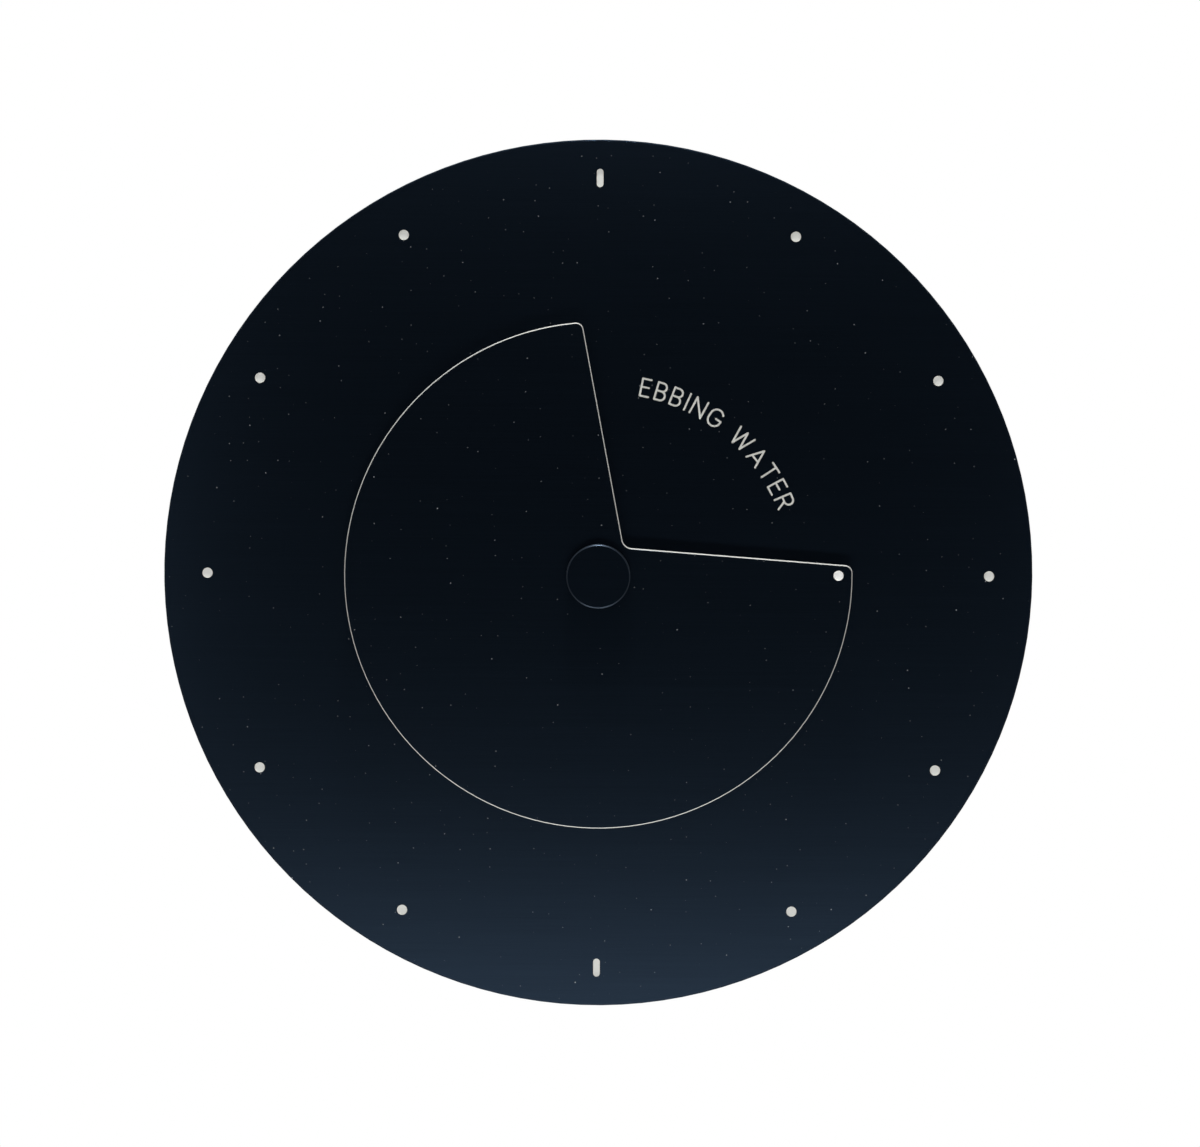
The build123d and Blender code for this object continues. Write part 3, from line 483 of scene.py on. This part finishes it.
@dataclass(frozen=True)
class Winding:
    """Enamelled copper wire laid in turns along Z: a sine of z, one period for each turn, raises each turn
    and paints shade into the grooves between turns.
    """

    colour: Colour = (0.60, 0.20, 0.07)
    painted_groove_shade: Colour = (0.24, 0.06, 0.02)
    pitch: float = 0.16 * MILLIMETRE
    depth: float = 0.04 * MILLIMETRE
    roughness: Span = (0.22, 0.36)
    gloss_noise: Noise = Noise(900.0, 3.0)
    coat: float = 0.6

    def make(self) -> bpy.types.Material:
        """Build the material."""
        finish = Finish("enamelled copper wire")
        turns = finish.calc("MULTIPLY", finish.split(finish.place)[2], 2 * math.pi / self.pitch)
        crown = finish.remap(finish.calc("SINE", turns), -1.0, 1.0)
        gloss = finish.noise(finish.place, *self.gloss_noise)
        finish.set(
            # Painted shade: the copper colour darkens toward the groove between turns and is full on each
            # crown.
            Base_Color=finish.mix(crown, self.painted_groove_shade, self.colour),
            Metallic=1.0,
            Roughness=finish.remap(gloss, *MOST_NOISE, *self.roughness),
            Coat_Weight=self.coat,
        )
        finish.bump(crown, self.depth)
        return finish.material


@dataclass(frozen=True)
class Moulded:
    """Moulded plastic or rubber: a pebbled skin, uneven gloss and a little dust in it."""

    colour: Colour
    dust: Colour
    roughness: float = 0.5
    grain_height: float = 0.000010
    fineness: float = 4500.0
    gloss_swing: Span = (0.86, 1.14)
    film: float = 0.20
    film_noise: Noise = Noise(60.0, 5.0, 0.65)
    film_span: Span = (0.5, 0.8)
    speck_density: float = 260.0
    speck_size: float = 0.035
    speck_share: float = 0.35
    fill: Colour = (0.34, 0.34, 0.33)

    def make(self, name: str, effects: Effects, filled: Span = (1.0, 1.0)) -> bpy.types.Material:
        """Build the material.

        Args:
            name: the material's name.
            effects: the shared groups.
            filled: the stretch of Y in which the floors of marks lie that are filled with pale paint.

        Returns:
            The material.
        """
        finish = Finish(name)
        skin = effects.mould.place(finish, Fine=self.fineness)
        patches = finish.noise(finish.place, *self.film_noise)
        film = finish.remap(patches, *self.film_span, 0.0, self.film)
        sockets = {"Density": self.speck_density, "Size": self.speck_size, "Share": self.speck_share}
        specks = effects.dust.place(finish, **sockets)["Mask"]
        dusty = finish.mix(finish.calc("MAXIMUM", film, specks), self.colour, self.dust)
        marks = finish.between(finish.split(finish.place)[1], *filled)
        finish.set(
            Base_Color=finish.mix(marks, dusty, self.fill),
            Metallic=0.0,
            Roughness=finish.uneven(skin["Tone"], self.roughness, self.gloss_swing),
        )
        finish.bump(skin["Height"], self.grain_height)
        return finish.material


@dataclass(frozen=True)
class Board:
    """Circuit board: green mask over the raised borders of square cells, as its tracks."""

    mask: Colour = (0.016, 0.085, 0.040)
    track: Colour = (0.045, 0.175, 0.075)
    pitch: float = 420.0
    gap_reach: float = 0.42
    track_height: float = 0.02 * MILLIMETRE
    roughness: Span = (0.28, 0.44)
    weave_noise: Noise = Noise(1400.0)

    def make(self) -> bpy.types.Material:
        """Build the material."""
        finish = Finish("circuit board")
        places = {"Vector": finish.place, "Scale": self.pitch}
        cells = finish.node("TexVoronoi", places, distance="CHEBYCHEV")
        track = finish.calc("GREATER_THAN", cells.outputs["Distance"], self.gap_reach)
        weave = finish.noise(finish.place, *self.weave_noise)
        finish.set(
            Base_Color=finish.mix(track, self.mask, self.track),
            Metallic=0.0,
            Roughness=finish.remap(weave, *MOST_NOISE, *self.roughness),
        )
        finish.bump(track, self.track_height)
        return finish.material


@dataclass(frozen=True)
class Sleeve:
    """Wrap of a dry cell: plain graphite with one coloured band, and no print."""

    body: Colour = (0.030, 0.034, 0.040)
    band: Colour = (0.50, 0.27, 0.08)
    scuff: Colour = (0.32, 0.32, 0.33)
    scuff_noise: Noise = Noise(420.0, 5.0, 0.7)
    scuff_span: Span = (0.62, 0.72)
    scuff_share: float = 0.5
    speck_density: float = 300.0
    speck_size: float = 0.03
    roughness: float = 0.28
    scuffed_roughness: float = 1.8
    metal: float = 0.35
    coat: float = 0.5

    def make(self, effects: Effects, band_end: float) -> bpy.types.Material:
        """Build the material.

        Args:
            effects: the shared groups.
            band_end: X at which the coloured band ends; it runs from there to the button.

        Returns:
            The material.
        """
        finish = Finish("cell sleeve")
        band = finish.calc("LESS_THAN", finish.split(finish.place)[0], band_end)
        rubs = finish.noise(finish.place, *self.scuff_noise)
        worn = finish.remap(rubs, *self.scuff_span, 0.0, self.scuff_share)
        specks = effects.dust.place(finish, Density=self.speck_density, Size=self.speck_size)["Mask"]
        printed = finish.mix(band, self.body, self.band)
        finish.set(
            Base_Color=finish.mix(finish.calc("MAXIMUM", worn, specks), printed, self.scuff),
            Metallic=self.metal,
            Roughness=finish.remap(
                worn, 0.0, self.scuff_share, self.roughness, self.roughness * self.scuffed_roughness
            ),
            Coat_Weight=self.coat,
        )
        return finish.material


# Meshes
def surface(name: str, points: np.ndarray, faces: np.ndarray) -> bpy.types.Object:
    """Make a mesh object from points and faces, merge its poles and turn its faces outwards.

    Args:
        name: the piece's name.
        points: one row for each point.
        faces: one row of four point numbers for each face.

    Returns:
        The object, linked to the scene, with smooth shading.
    """
    mesh = bpy.data.meshes.new(name)
    mesh.from_pydata(points.tolist(), [], faces.tolist())
    shape = bmesh.new()
    shape.from_mesh(mesh)
    bmesh.ops.remove_doubles(shape, verts=shape.verts, dist=MERGE_DISTANCE)
    bmesh.ops.recalc_face_normals(shape, faces=shape.faces)
    shape.to_mesh(mesh)
    shape.free()
    mesh.shade_smooth()
    made = bpy.data.objects.new(name, mesh)
    bpy.context.scene.collection.objects.link(made)
    return made


def lathe(name: str, profile: np.ndarray, centre: Sequence[float], steps: int) -> bpy.types.Object:
    """Turn a profile about a line along X through a centre.

    A row (along, radius) at the angle a goes to centre + (along, radius cos a, radius sin a). A profile
    that starts and ends at radius nothing is closed, with a pole at each end.

    Args:
        name: the piece's name.
        profile: rows of place along X, measured from the centre, and radius.
        centre: a point on the line.
        steps: how many steps round the circle.

    Returns:
        The object, with its place in its mesh.
    """
    angles = np.linspace(0.0, 2.0 * np.pi, steps, endpoint=False)
    rows = len(profile)
    along = np.broadcast_to(profile[:, :1], (rows, steps))
    points = np.stack([along, profile[:, 1:] * np.cos(angles), profile[:, 1:] * np.sin(angles)], axis=-1)
    starts = np.arange(rows - 1)[:, None] * steps
    near = starts + np.arange(steps)
    beside = starts + (np.arange(steps) + 1) % steps
    faces = np.stack([near, beside, beside + steps, near + steps], axis=-1).reshape(-1, 4)
    return surface(name, points.reshape(-1, 3) + np.asarray(centre), faces)


def rounded(corners: Sequence[tuple[float, float]], radius: float, steps: int = 5) -> np.ndarray:
    """Round the inner corners of a profile.

    Each corner c becomes the curve (1-t)^2 a + 2t(1-t) c + t^2 b, where a and b lie a radius away from it
    on its two sides, and at most halfway to its neighbours.

    Args:
        corners: points of the profile.
        radius: how far from a corner the curve starts.
        steps: points on each curve.

    Returns:
        The rounded profile.
    """
    points = np.asarray(corners, dtype=float)
    before, corner, after = points[:-2], points[1:-1], points[2:]
    back, ahead = before - corner, after - corner
    start = corner + back * np.minimum(0.5, radius / np.linalg.norm(back, axis=1, keepdims=True))
    end = corner + ahead * np.minimum(0.5, radius / np.linalg.norm(ahead, axis=1, keepdims=True))
    share = np.linspace(0.0, 1.0, steps)[None, :, None]
    left = 1 - share
    bends = left ** 2 * start[:, None] + 2 * share * left * corner[:, None] + share ** 2 * end[:, None]
    return np.vstack([points[:1], bends.reshape(-1, 2), points[-1:]])


class Clock:
    """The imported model, whose nodes the sections below dress."""

    def __init__(self, nodes: dict[str, bpy.types.Object]) -> None:
        """Hold the model's nodes by name."""
        self.nodes = nodes

    def dress(self, material: bpy.types.Material, *names: str) -> None:
        """Give nodes of the model a material.

        Args:
            material: what they get, in each of their slots.
            names: the nodes.
        """
        for name in names:
            for slot in self.nodes[name].material_slots:
                slot.material = material
            log.info("dressed %s with %s", name, material.name)


# Parts of the clock
@dataclass
class Face:
    """The dial, the disc that turns in front of it, and the cap on the disc."""

    engraving_depth: float = 0.2 * MILLIMETRE
    skin: float = 0.02 * MILLIMETRE
    dial_margin: float = 1.0 * MILLIMETRE
    dial_chamfer: float = 0.3 * MILLIMETRE
    cap_chamfer: float = 0.35 * MILLIMETRE
    pointer_place: float = 69.0 * MILLIMETRE
    dial: Anodised = Anodised()
    disc: Anodised = Anodised(bare=(0.40, 0.404, 0.387))
    cap: Anodised = Anodised(
        bare=(0.030, 0.040, 0.054), bare_metal=1.0, bare_roughness=0.5, speck_share=0.15
    )

    def build(self, clock: Clock, effects: Effects) -> None:
        """Give the three plates their anodised finish, bare where they were cut.

        Args:
            clock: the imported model.
            effects: the shared groups.
        """
        low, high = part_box("dial_plate")
        floor = low[1] + self.engraving_depth
        rim = high[0] - self.dial_chamfer - self.skin
        marks = Cut(low[1] + self.skin, floor + self.skin, outer=high[0] - self.dial_margin, rim=rim)
        clock.dress(self.dial.make("anodised dial", effects, marks), "dial_plate")
        low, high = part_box("tide_disc")
        edge = Cut(low[1] + self.skin, high[1] - self.skin, dot_x=self.pointer_place)
        clock.dress(self.disc.make("anodised disc", effects, edge), "tide_disc")
        low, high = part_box("centre_cap")
        bevel = Cut(low[1] + self.skin, low[1] + self.cap_chamfer, inner=high[0] - self.cap_chamfer)
        clock.dress(self.cap.make("anodised cap", effects, bevel), "centre_cap")


@dataclass
class Clamp:
    """The nose of the movement and what clamps the dial to it."""

    brass: BareMetal = BareMetal((0.72, 0.53, 0.24), (0.38, 0.25, 0.10))
    rubber: Moulded = Moulded((0.018, 0.018, 0.018), (0.07, 0.07, 0.065), roughness=0.75)

    def build(self, clock: Clock, effects: Effects) -> None:
        """Dress the nose, nut, washers and collet.

        Args:
            clock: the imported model.
            effects: the shared groups.
        """
        turned = self.brass.make("turned brass", effects, Grain.TURNED)
        clock.dress(turned, "threaded_bushing", "fixing_nut", "brass_washer", "disc_collet")
        clock.dress(self.rubber.make("rubber", effects), "rubber_washer")


@dataclass
class Cell:
    """An AA cell lying along X, its button towards -X: rolled sleeve, steel ends, crimp and button.

    All sizes are in millimetres. They follow the plain solid's box, and stay inside its shape.
    """

    button_radius: float = 2.7
    button_rise: float = 1.0
    end_recess: float = 0.25
    lip_radius: float = 6.3
    groove_place: float = 1.9
    groove_width: float = 0.7
    groove_depth: float = 0.12
    sleeve_inset: float = 0.02
    sleeve_end: float = 0.1
    sleeve_bend: float = 0.35
    end_bend: float = 0.3
    end_gap: float = 0.4
    end_lift: float = 0.06
    end_thickness: float = 0.1
    ring_gap: float = 0.5
    ring_width: float = 1.2
    dish_edge: float = 1.7
    dish_depth: float = 0.08
    band_share: float = 0.27
    steps: int = 96
    steel: BareMetal = BareMetal((0.64, 0.64, 0.65), (0.40, 0.39, 0.37), roughness=0.26)

    def build(self, clock: Clock, effects: Effects) -> None:
        """Turn the sleeve and the two steel ends, and put them in place of the plain solid.

        Args:
            clock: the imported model.
            effects: the shared groups.
        """
        low, high = (np.asarray(corner, dtype=float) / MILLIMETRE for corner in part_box("battery"))
        centre = (low + high) / 2
        half, outer = (high[0] - low[0]) / 2, (high[1] - low[1]) / 2 - self.sleeve_inset
        shoulder = self.button_rise - half
        steel = self.steel.make("nickelled steel", effects, Grain.ROLLED)
        band_end = (low[0] + (high[0] - low[0]) * self.band_share) * MILLIMETRE
        sleeve = Sleeve().make(effects, band_end)
        self.add("cell_sleeve", self.sleeve_profile(shoulder, half, outer), centre, sleeve)
        self.add("cell_button_end", self.button_profile(shoulder, half), centre, steel)
        self.add("cell_flat_end", self.flat_profile(half), centre, steel)

    def sleeve_profile(self, shoulder: float, half: float, outer: float) -> np.ndarray:
        """Return the closed wrap: rolled lips at both ends, and a crimp groove near the flat one.

        Args:
            shoulder: place of the lip round the button, from the cell's middle.
            half: place of the flat end.
            outer: the sleeve's radius.

        Returns:
            Rows of place and radius, from the axis back to the axis.
        """
        groove = half - self.groove_place
        lip, end = self.lip_radius, half - self.sleeve_end
        front, back = shoulder + self.end_recess, half - self.end_recess
        corners = [
            (front, 0.0), (front, lip), (shoulder, lip), (shoulder, outer),
            (groove - self.groove_width, outer),
            (groove - self.groove_width / 2, outer - self.groove_depth),
            (groove, outer), (end, outer), (end, lip), (back, lip), (back, 0.0),
        ]
        return rounded(corners, self.sleeve_bend)

    def button_profile(self, shoulder: float, half: float) -> np.ndarray:
        """Return the steel end with its button, from the button's face to a closed back.

        Args:
            shoulder: place of the lip round the button, from the cell's middle.
            half: half of the cell's length.

        Returns:
            Rows of place and radius.
        """
        plate, edge = shoulder + self.end_recess, self.lip_radius - self.end_gap
        front, back = plate - self.end_lift, plate + self.end_thickness
        corners = [
            (-half, 0.0), (-half, self.button_radius), (front, self.button_radius),
            (front, edge), (back, edge), (back, 0.0),
        ]
        return rounded(corners, self.end_bend)

    def flat_profile(self, half: float) -> np.ndarray:
        """Return the flat steel end: a shallow dish inside a raised ring, with a closed back."""
        ring, dish = self.lip_radius - self.ring_gap, half - self.dish_depth
        back = half - self.end_recess - self.end_thickness
        corners = [
            (back, 0.0), (back, ring), (half, ring),
            (half, ring - self.ring_width), (dish, ring - self.dish_edge), (dish, 0.0),
        ]
        return rounded(corners, self.end_bend)

    def add(
        self, name: str, profile: np.ndarray, centre: np.ndarray, material: bpy.types.Material
    ) -> None:
        """Turn one profile of the cell and dress it.

        Args:
            name: the piece's name.
            profile: rows of place and radius, in millimetres.
            centre: the cell's middle, in millimetres.
            material: what it gets.
        """
        made = lathe(name, profile * MILLIMETRE, centre * MILLIMETRE, self.steps)
        made.data.materials.append(material)
        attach(made, "cell")
        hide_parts("battery")
        log.info("built %s with %d faces", name, len(made.data.polygons))


@dataclass
class Case:
    """The moulded case behind the dial, with its knob and the contacts of its cell."""

    mark_depth: float = 0.25 * MILLIMETRE
    mark_play: float = 0.01 * MILLIMETRE
    shell: Moulded = Moulded((0.016, 0.016, 0.017), (0.075, 0.075, 0.073), roughness=0.52)
    knob: Moulded = Moulded(
        (0.030, 0.030, 0.032), (0.10, 0.10, 0.10), roughness=0.38, grain_height=0.000004
    )
    nickel: BareMetal = BareMetal((0.66, 0.64, 0.58), (0.38, 0.36, 0.32), roughness=0.25)

    def build(self, clock: Clock, effects: Effects) -> None:
        """Dress the case, the knob and the contacts.

        Args:
            clock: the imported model.
            effects: the shared groups.
        """
        clock.dress(self.shell.make("case plastic", effects), "front_shell")
        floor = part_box("rear_cover")[1][1] - self.mark_depth
        filled = (floor - self.mark_play, floor + self.mark_play)
        clock.dress(self.shell.make("cover plastic", effects, filled), "rear_cover")
        clock.dress(self.knob.make("knob plastic", effects), "setting_knob")
        nickel = self.nickel.make("nickelled spring", effects, Grain.ROLLED)
        clock.dress(nickel, "battery_contact_positive", "battery_contact_negative")


@dataclass
class Works:
    """Everything inside the case: train, motion work, motor and circuit."""

    acetal: Moulded = Moulded(
        (0.80, 0.80, 0.76), (0.55, 0.53, 0.47), roughness=0.35, grain_height=0.000002
    )
    plate: Moulded = Moulded(
        (0.62, 0.64, 0.62), (0.40, 0.40, 0.36), roughness=0.4, grain_height=0.000004
    )
    ferrite: Moulded = Moulded((0.045, 0.045, 0.050), (0.10, 0.10, 0.10), roughness=0.45)
    resin: Moulded = Moulded(
        (0.008, 0.008, 0.009), (0.05, 0.05, 0.05), roughness=0.3, grain_height=0.000002
    )
    steel: BareMetal = BareMetal((0.56, 0.56, 0.57), (0.30, 0.29, 0.28), roughness=0.25)
    spring: BareMetal = BareMetal((0.50, 0.50, 0.52), (0.28, 0.25, 0.22), roughness=0.3)
    iron: BareMetal = BareMetal((0.44, 0.44, 0.45), (0.20, 0.18, 0.16), roughness=0.4)

    def build(self, clock: Clock, effects: Effects) -> None:
        """Give each inner piece its finish.

        Args:
            clock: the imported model.
            effects: the shared groups.
        """
        places = ("tide", "minute", "clutch", "third", "second", "intermediate")
        wheels = [f"{place}_wheel" for place in places]
        clock.dress(self.acetal.make("acetal", effects), *wheels, "rotor_pinion", "coil_bobbin")
        clock.dress(self.plate.make("plate plastic", effects), "middle_plate")
        steel = self.steel.make("turned steel", effects, Grain.TURNED)
        clock.dress(steel, "centre_arbor", "quartz_crystal")
        clock.dress(self.spring.make("spring steel", effects, Grain.ROLLED), "clutch_spring")
        clock.dress(self.iron.make("soft iron", effects, Grain.ROLLED), "stator_plate", "coil_core")
        clock.dress(self.ferrite.make("ferrite", effects), "rotor_magnet")
        clock.dress(Winding().make(), "coil_winding")
        clock.dress(Board().make(), "circuit_board")
        clock.dress(self.resin.make("chip resin", effects), "control_chip")


# Room, lamps and camera
def facing(place: Sequence[float], target: Sequence[float]) -> Matrix:
    """Return the turn that points an object's -Z axis from its place at a target, with Y upwards."""
    return (Vector(target) - Vector(place)).to_track_quat("-Z", "Y").to_matrix()


def seen(tree: Tree) -> Socket:
    """Return one for camera, glossy and transmission rays, and nothing for the rest."""
    path = tree.node("LightPath").outputs
    looked = tree.calc("MAXIMUM", path["Is Camera Ray"], path["Is Glossy Ray"])
    return tree.calc("MAXIMUM", looked, path["Is Transmission Ray"])


@dataclass(frozen=True)
class Lamp:
    """A soft box: where it stands, what it faces, its size in metres and its power in watts."""

    name: str
    place: tuple[float, float, float]
    target: tuple[float, float, float]
    width: float
    height: float
    power: float

    def hang(self) -> None:
        """Add the lamp to the scene, turned to its target and out of the camera's sight."""
        light = bpy.data.lights.new(self.name, "AREA")
        light.shape = "RECTANGLE"
        light.size, light.size_y = self.width, self.height
        light.energy = self.power
        made = bpy.data.objects.new(self.name, light)
        made.location = self.place
        made.rotation_euler = facing(self.place, self.target).to_euler()
        made.visible_camera = False
        bpy.context.scene.collection.objects.link(made)
        log.info("lamp %s at %s", self.name, self.place)


@dataclass
class Room:
    """White surroundings: the world, a pale floor and soft boxes, and dark cards that only gloss sees."""

    floor_drop: float = 0.25
    floor_half: float = 4.0
    fade_from: float = 0.30
    fade_to: float = 0.62
    floor_noise: Noise = Noise(14.0, 4.0)
    floor_tones: tuple[Colour, Colour] = ((0.81, 0.81, 0.81), (0.84, 0.84, 0.84))
    floor_roughness: float = 0.9
    ambient: float = 0.35
    card_back: float = 0.95
    card_half_width: float = 3.0
    card_near: float = 0.12
    card_low: float = -0.37
    card_high: float = 3.2
    card_noise: Noise = Noise(30.0, 3.0)
    card_tones: tuple[Colour, Colour] = ((0.010, 0.010, 0.011), (0.014, 0.014, 0.015))
    lamps: tuple[Lamp, ...] = (
        Lamp("overhead", (0.0, -0.115, 0.95), (0.0, -0.006, 0.0), 0.08, 0.06, 11.8),
        Lamp("low strip", (0.0, -0.30, -0.19), (0.0, -0.006, -0.06), 1.0, 0.07, 0.70),
        Lamp("top strip", (0.0, -0.30, 0.20), (0.0, -0.006, 0.10), 1.0, 0.05, 0.32),
        Lamp("left strip", (-0.19, -0.30, -0.03), (-0.10, -0.006, -0.03), 0.04, 0.4, 0.08),
        Lamp("right strip", (0.20, -0.30, -0.05), (0.10, -0.006, -0.05), 0.04, 0.4, 0.035),
        Lamp("under", (0.0, -0.022, -0.30), (0.0, -0.01, 0.0), 0.3, 0.03, 0.55),
        Lamp("left stand", (-1.1, -1.1, 1.3), (0.0, 0.0, 0.0), 0.7, 0.7, 3.5),
        Lamp("right stand", (1.1, -1.1, 1.3), (0.0, 0.0, 0.0), 0.7, 0.7, 3.5),
        Lamp("behind", (0.5, 1.4, 0.9), (0.0, 0.0, 0.0), 0.9, 0.9, 20.0),
    )

    def build(self) -> None:
        """Add the world, the floor, the cards and the lamps."""
        self.build_world()
        self.build_floor()
        self.build_cards()
        for lamp in self.lamps:
            lamp.hang()

    def build_world(self) -> None:
        """White where the background is seen, and a softer level where it only lights."""
        world = bpy.data.worlds.new("room")
        world.use_nodes = True
        world.node_tree.nodes.clear()
        bpy.context.scene.world = world
        tree = Tree(world.node_tree)
        level = tree.remap(seen(tree), 0.0, 1.0, self.ambient, 1.0)
        light = tree.node("Background", {"Color": WHITE, "Strength": level})
        tree.node("OutputWorld", {"Surface": light.outputs[0]})

    def build_floor(self) -> None:
        """A pale floor that keeps the clock's shadow and fades to the background's white further out."""
        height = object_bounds()[0][2] - self.floor_drop
        turns = ((-1, -1), (1, -1), (1, 1), (-1, 1))
        corners = [(x * self.floor_half, y * self.floor_half, height) for x, y in turns]
        floor = self.sheet("floor", corners)
        finish = Finish("pale floor")
        grain = finish.noise(finish.place, *self.floor_noise)
        finish.set(Base_Color=finish.mix(grain, *self.floor_tones), Roughness=self.floor_roughness)
        place = finish.split(finish.place)
        reach = finish.remap(finish.length(place[0], place[1]), self.fade_from, self.fade_to)
        share = finish.calc("MULTIPLY", reach, seen(finish))
        glow = finish.node("Emission", {"Color": WHITE, "Strength": 1.0})
        both = finish.node("MixShader", {0: share, 1: finish.shader.outputs[0], 2: glow.outputs[0]})
        finish.feed(finish.output.inputs["Surface"], both.outputs[0])
        floor.data.materials.append(finish.material)

    def build_cards(self) -> None:
        """Two dark cards, one standing before the dial and one lying from its foot towards the dial.

        They are a studio's black flags: the metal mirrors them, and they take no light from anything.
        """
        left, right, back = -self.card_half_width, self.card_half_width, -self.card_back
        low, high, near = self.card_low, self.card_high, -self.card_near
        wall = [(left, back, low), (left, back, high), (right, back, high), (right, back, low)]
        lying = [(left, back, low), (right, back, low), (right, near, low), (left, near, low)]
        finish = Finish("dark card")
        grain = finish.noise(finish.place, *self.card_noise)
        finish.set(Base_Color=finish.mix(grain, *self.card_tones), Roughness=1.0)
        for name, corners in (("dark card", wall), ("dark card on the floor", lying)):
            card = self.sheet(name, corners)
            card.data.materials.append(finish.material)
            card.visible_camera = card.visible_diffuse = False
            card.visible_shadow = card.visible_transmission = False

    @staticmethod
    def sheet(name: str, corners: Sequence[tuple[float, float, float]]) -> bpy.types.Object:
        """Return a flat stage piece with four corners."""
        mesh = bpy.data.meshes.new(name)
        mesh.from_pydata(list(corners), [], [(0, 1, 2, 3)])
        made = bpy.data.objects.new(name, mesh)
        bpy.context.scene.collection.objects.link(made)
        made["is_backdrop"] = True
        return made


@dataclass
class Eye:
    """The camera: nearly straight in front of the dial, a little above it and turned by a hair."""

    distance: float = 2.0
    lift_degrees: float = 4.3
    roll_degrees: float = 0.27
    frame_width: float = 0.3455
    sensor: float = 36.0
    nearest: float = 0.01
    aim_right: float = 0.49 * MILLIMETRE
    aim_up: float = 0.30 * MILLIMETRE

    def build(self) -> None:
        """Add the camera and make it the scene's own."""
        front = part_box("dial_plate")[0][1]
        target = Vector((self.aim_right, front, self.aim_up))
        lift = math.radians(self.lift_degrees)
        place = target + self.distance * Vector((0.0, -math.cos(lift), math.sin(lift)))
        data = bpy.data.cameras.new("eye")
        data.sensor_width = self.sensor
        data.lens = self.sensor * self.distance / self.frame_width
        data.clip_start = self.nearest
        camera = bpy.data.objects.new("eye", data)
        camera.location = place
        roll = Matrix.Rotation(math.radians(self.roll_degrees), 3, "Z")
        camera.rotation_euler = (facing(place, target) @ roll).to_euler()
        bpy.context.scene.collection.objects.link(camera)
        bpy.context.scene.camera = camera
        log.info("camera at %s, lens %.1f mm", tuple(round(value, 4) for value in place), data.lens)


def main() -> None:
    """Load the model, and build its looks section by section."""
    logging.basicConfig(level=logging.INFO, format="%(name)s: %(message)s")
    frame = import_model()
    bpy.context.scene.view_settings.view_transform = "Standard"
    clock, effects = Clock(frame["nodes"]), Effects.build()
    for section in (Face(), Clamp(), Cell(), Case(), Works()):
        section.build(clock, effects)
        log.info("finished %s", type(section).__name__)
    Room().build()
    Eye().build()


if __name__ == "__main__":
    main()
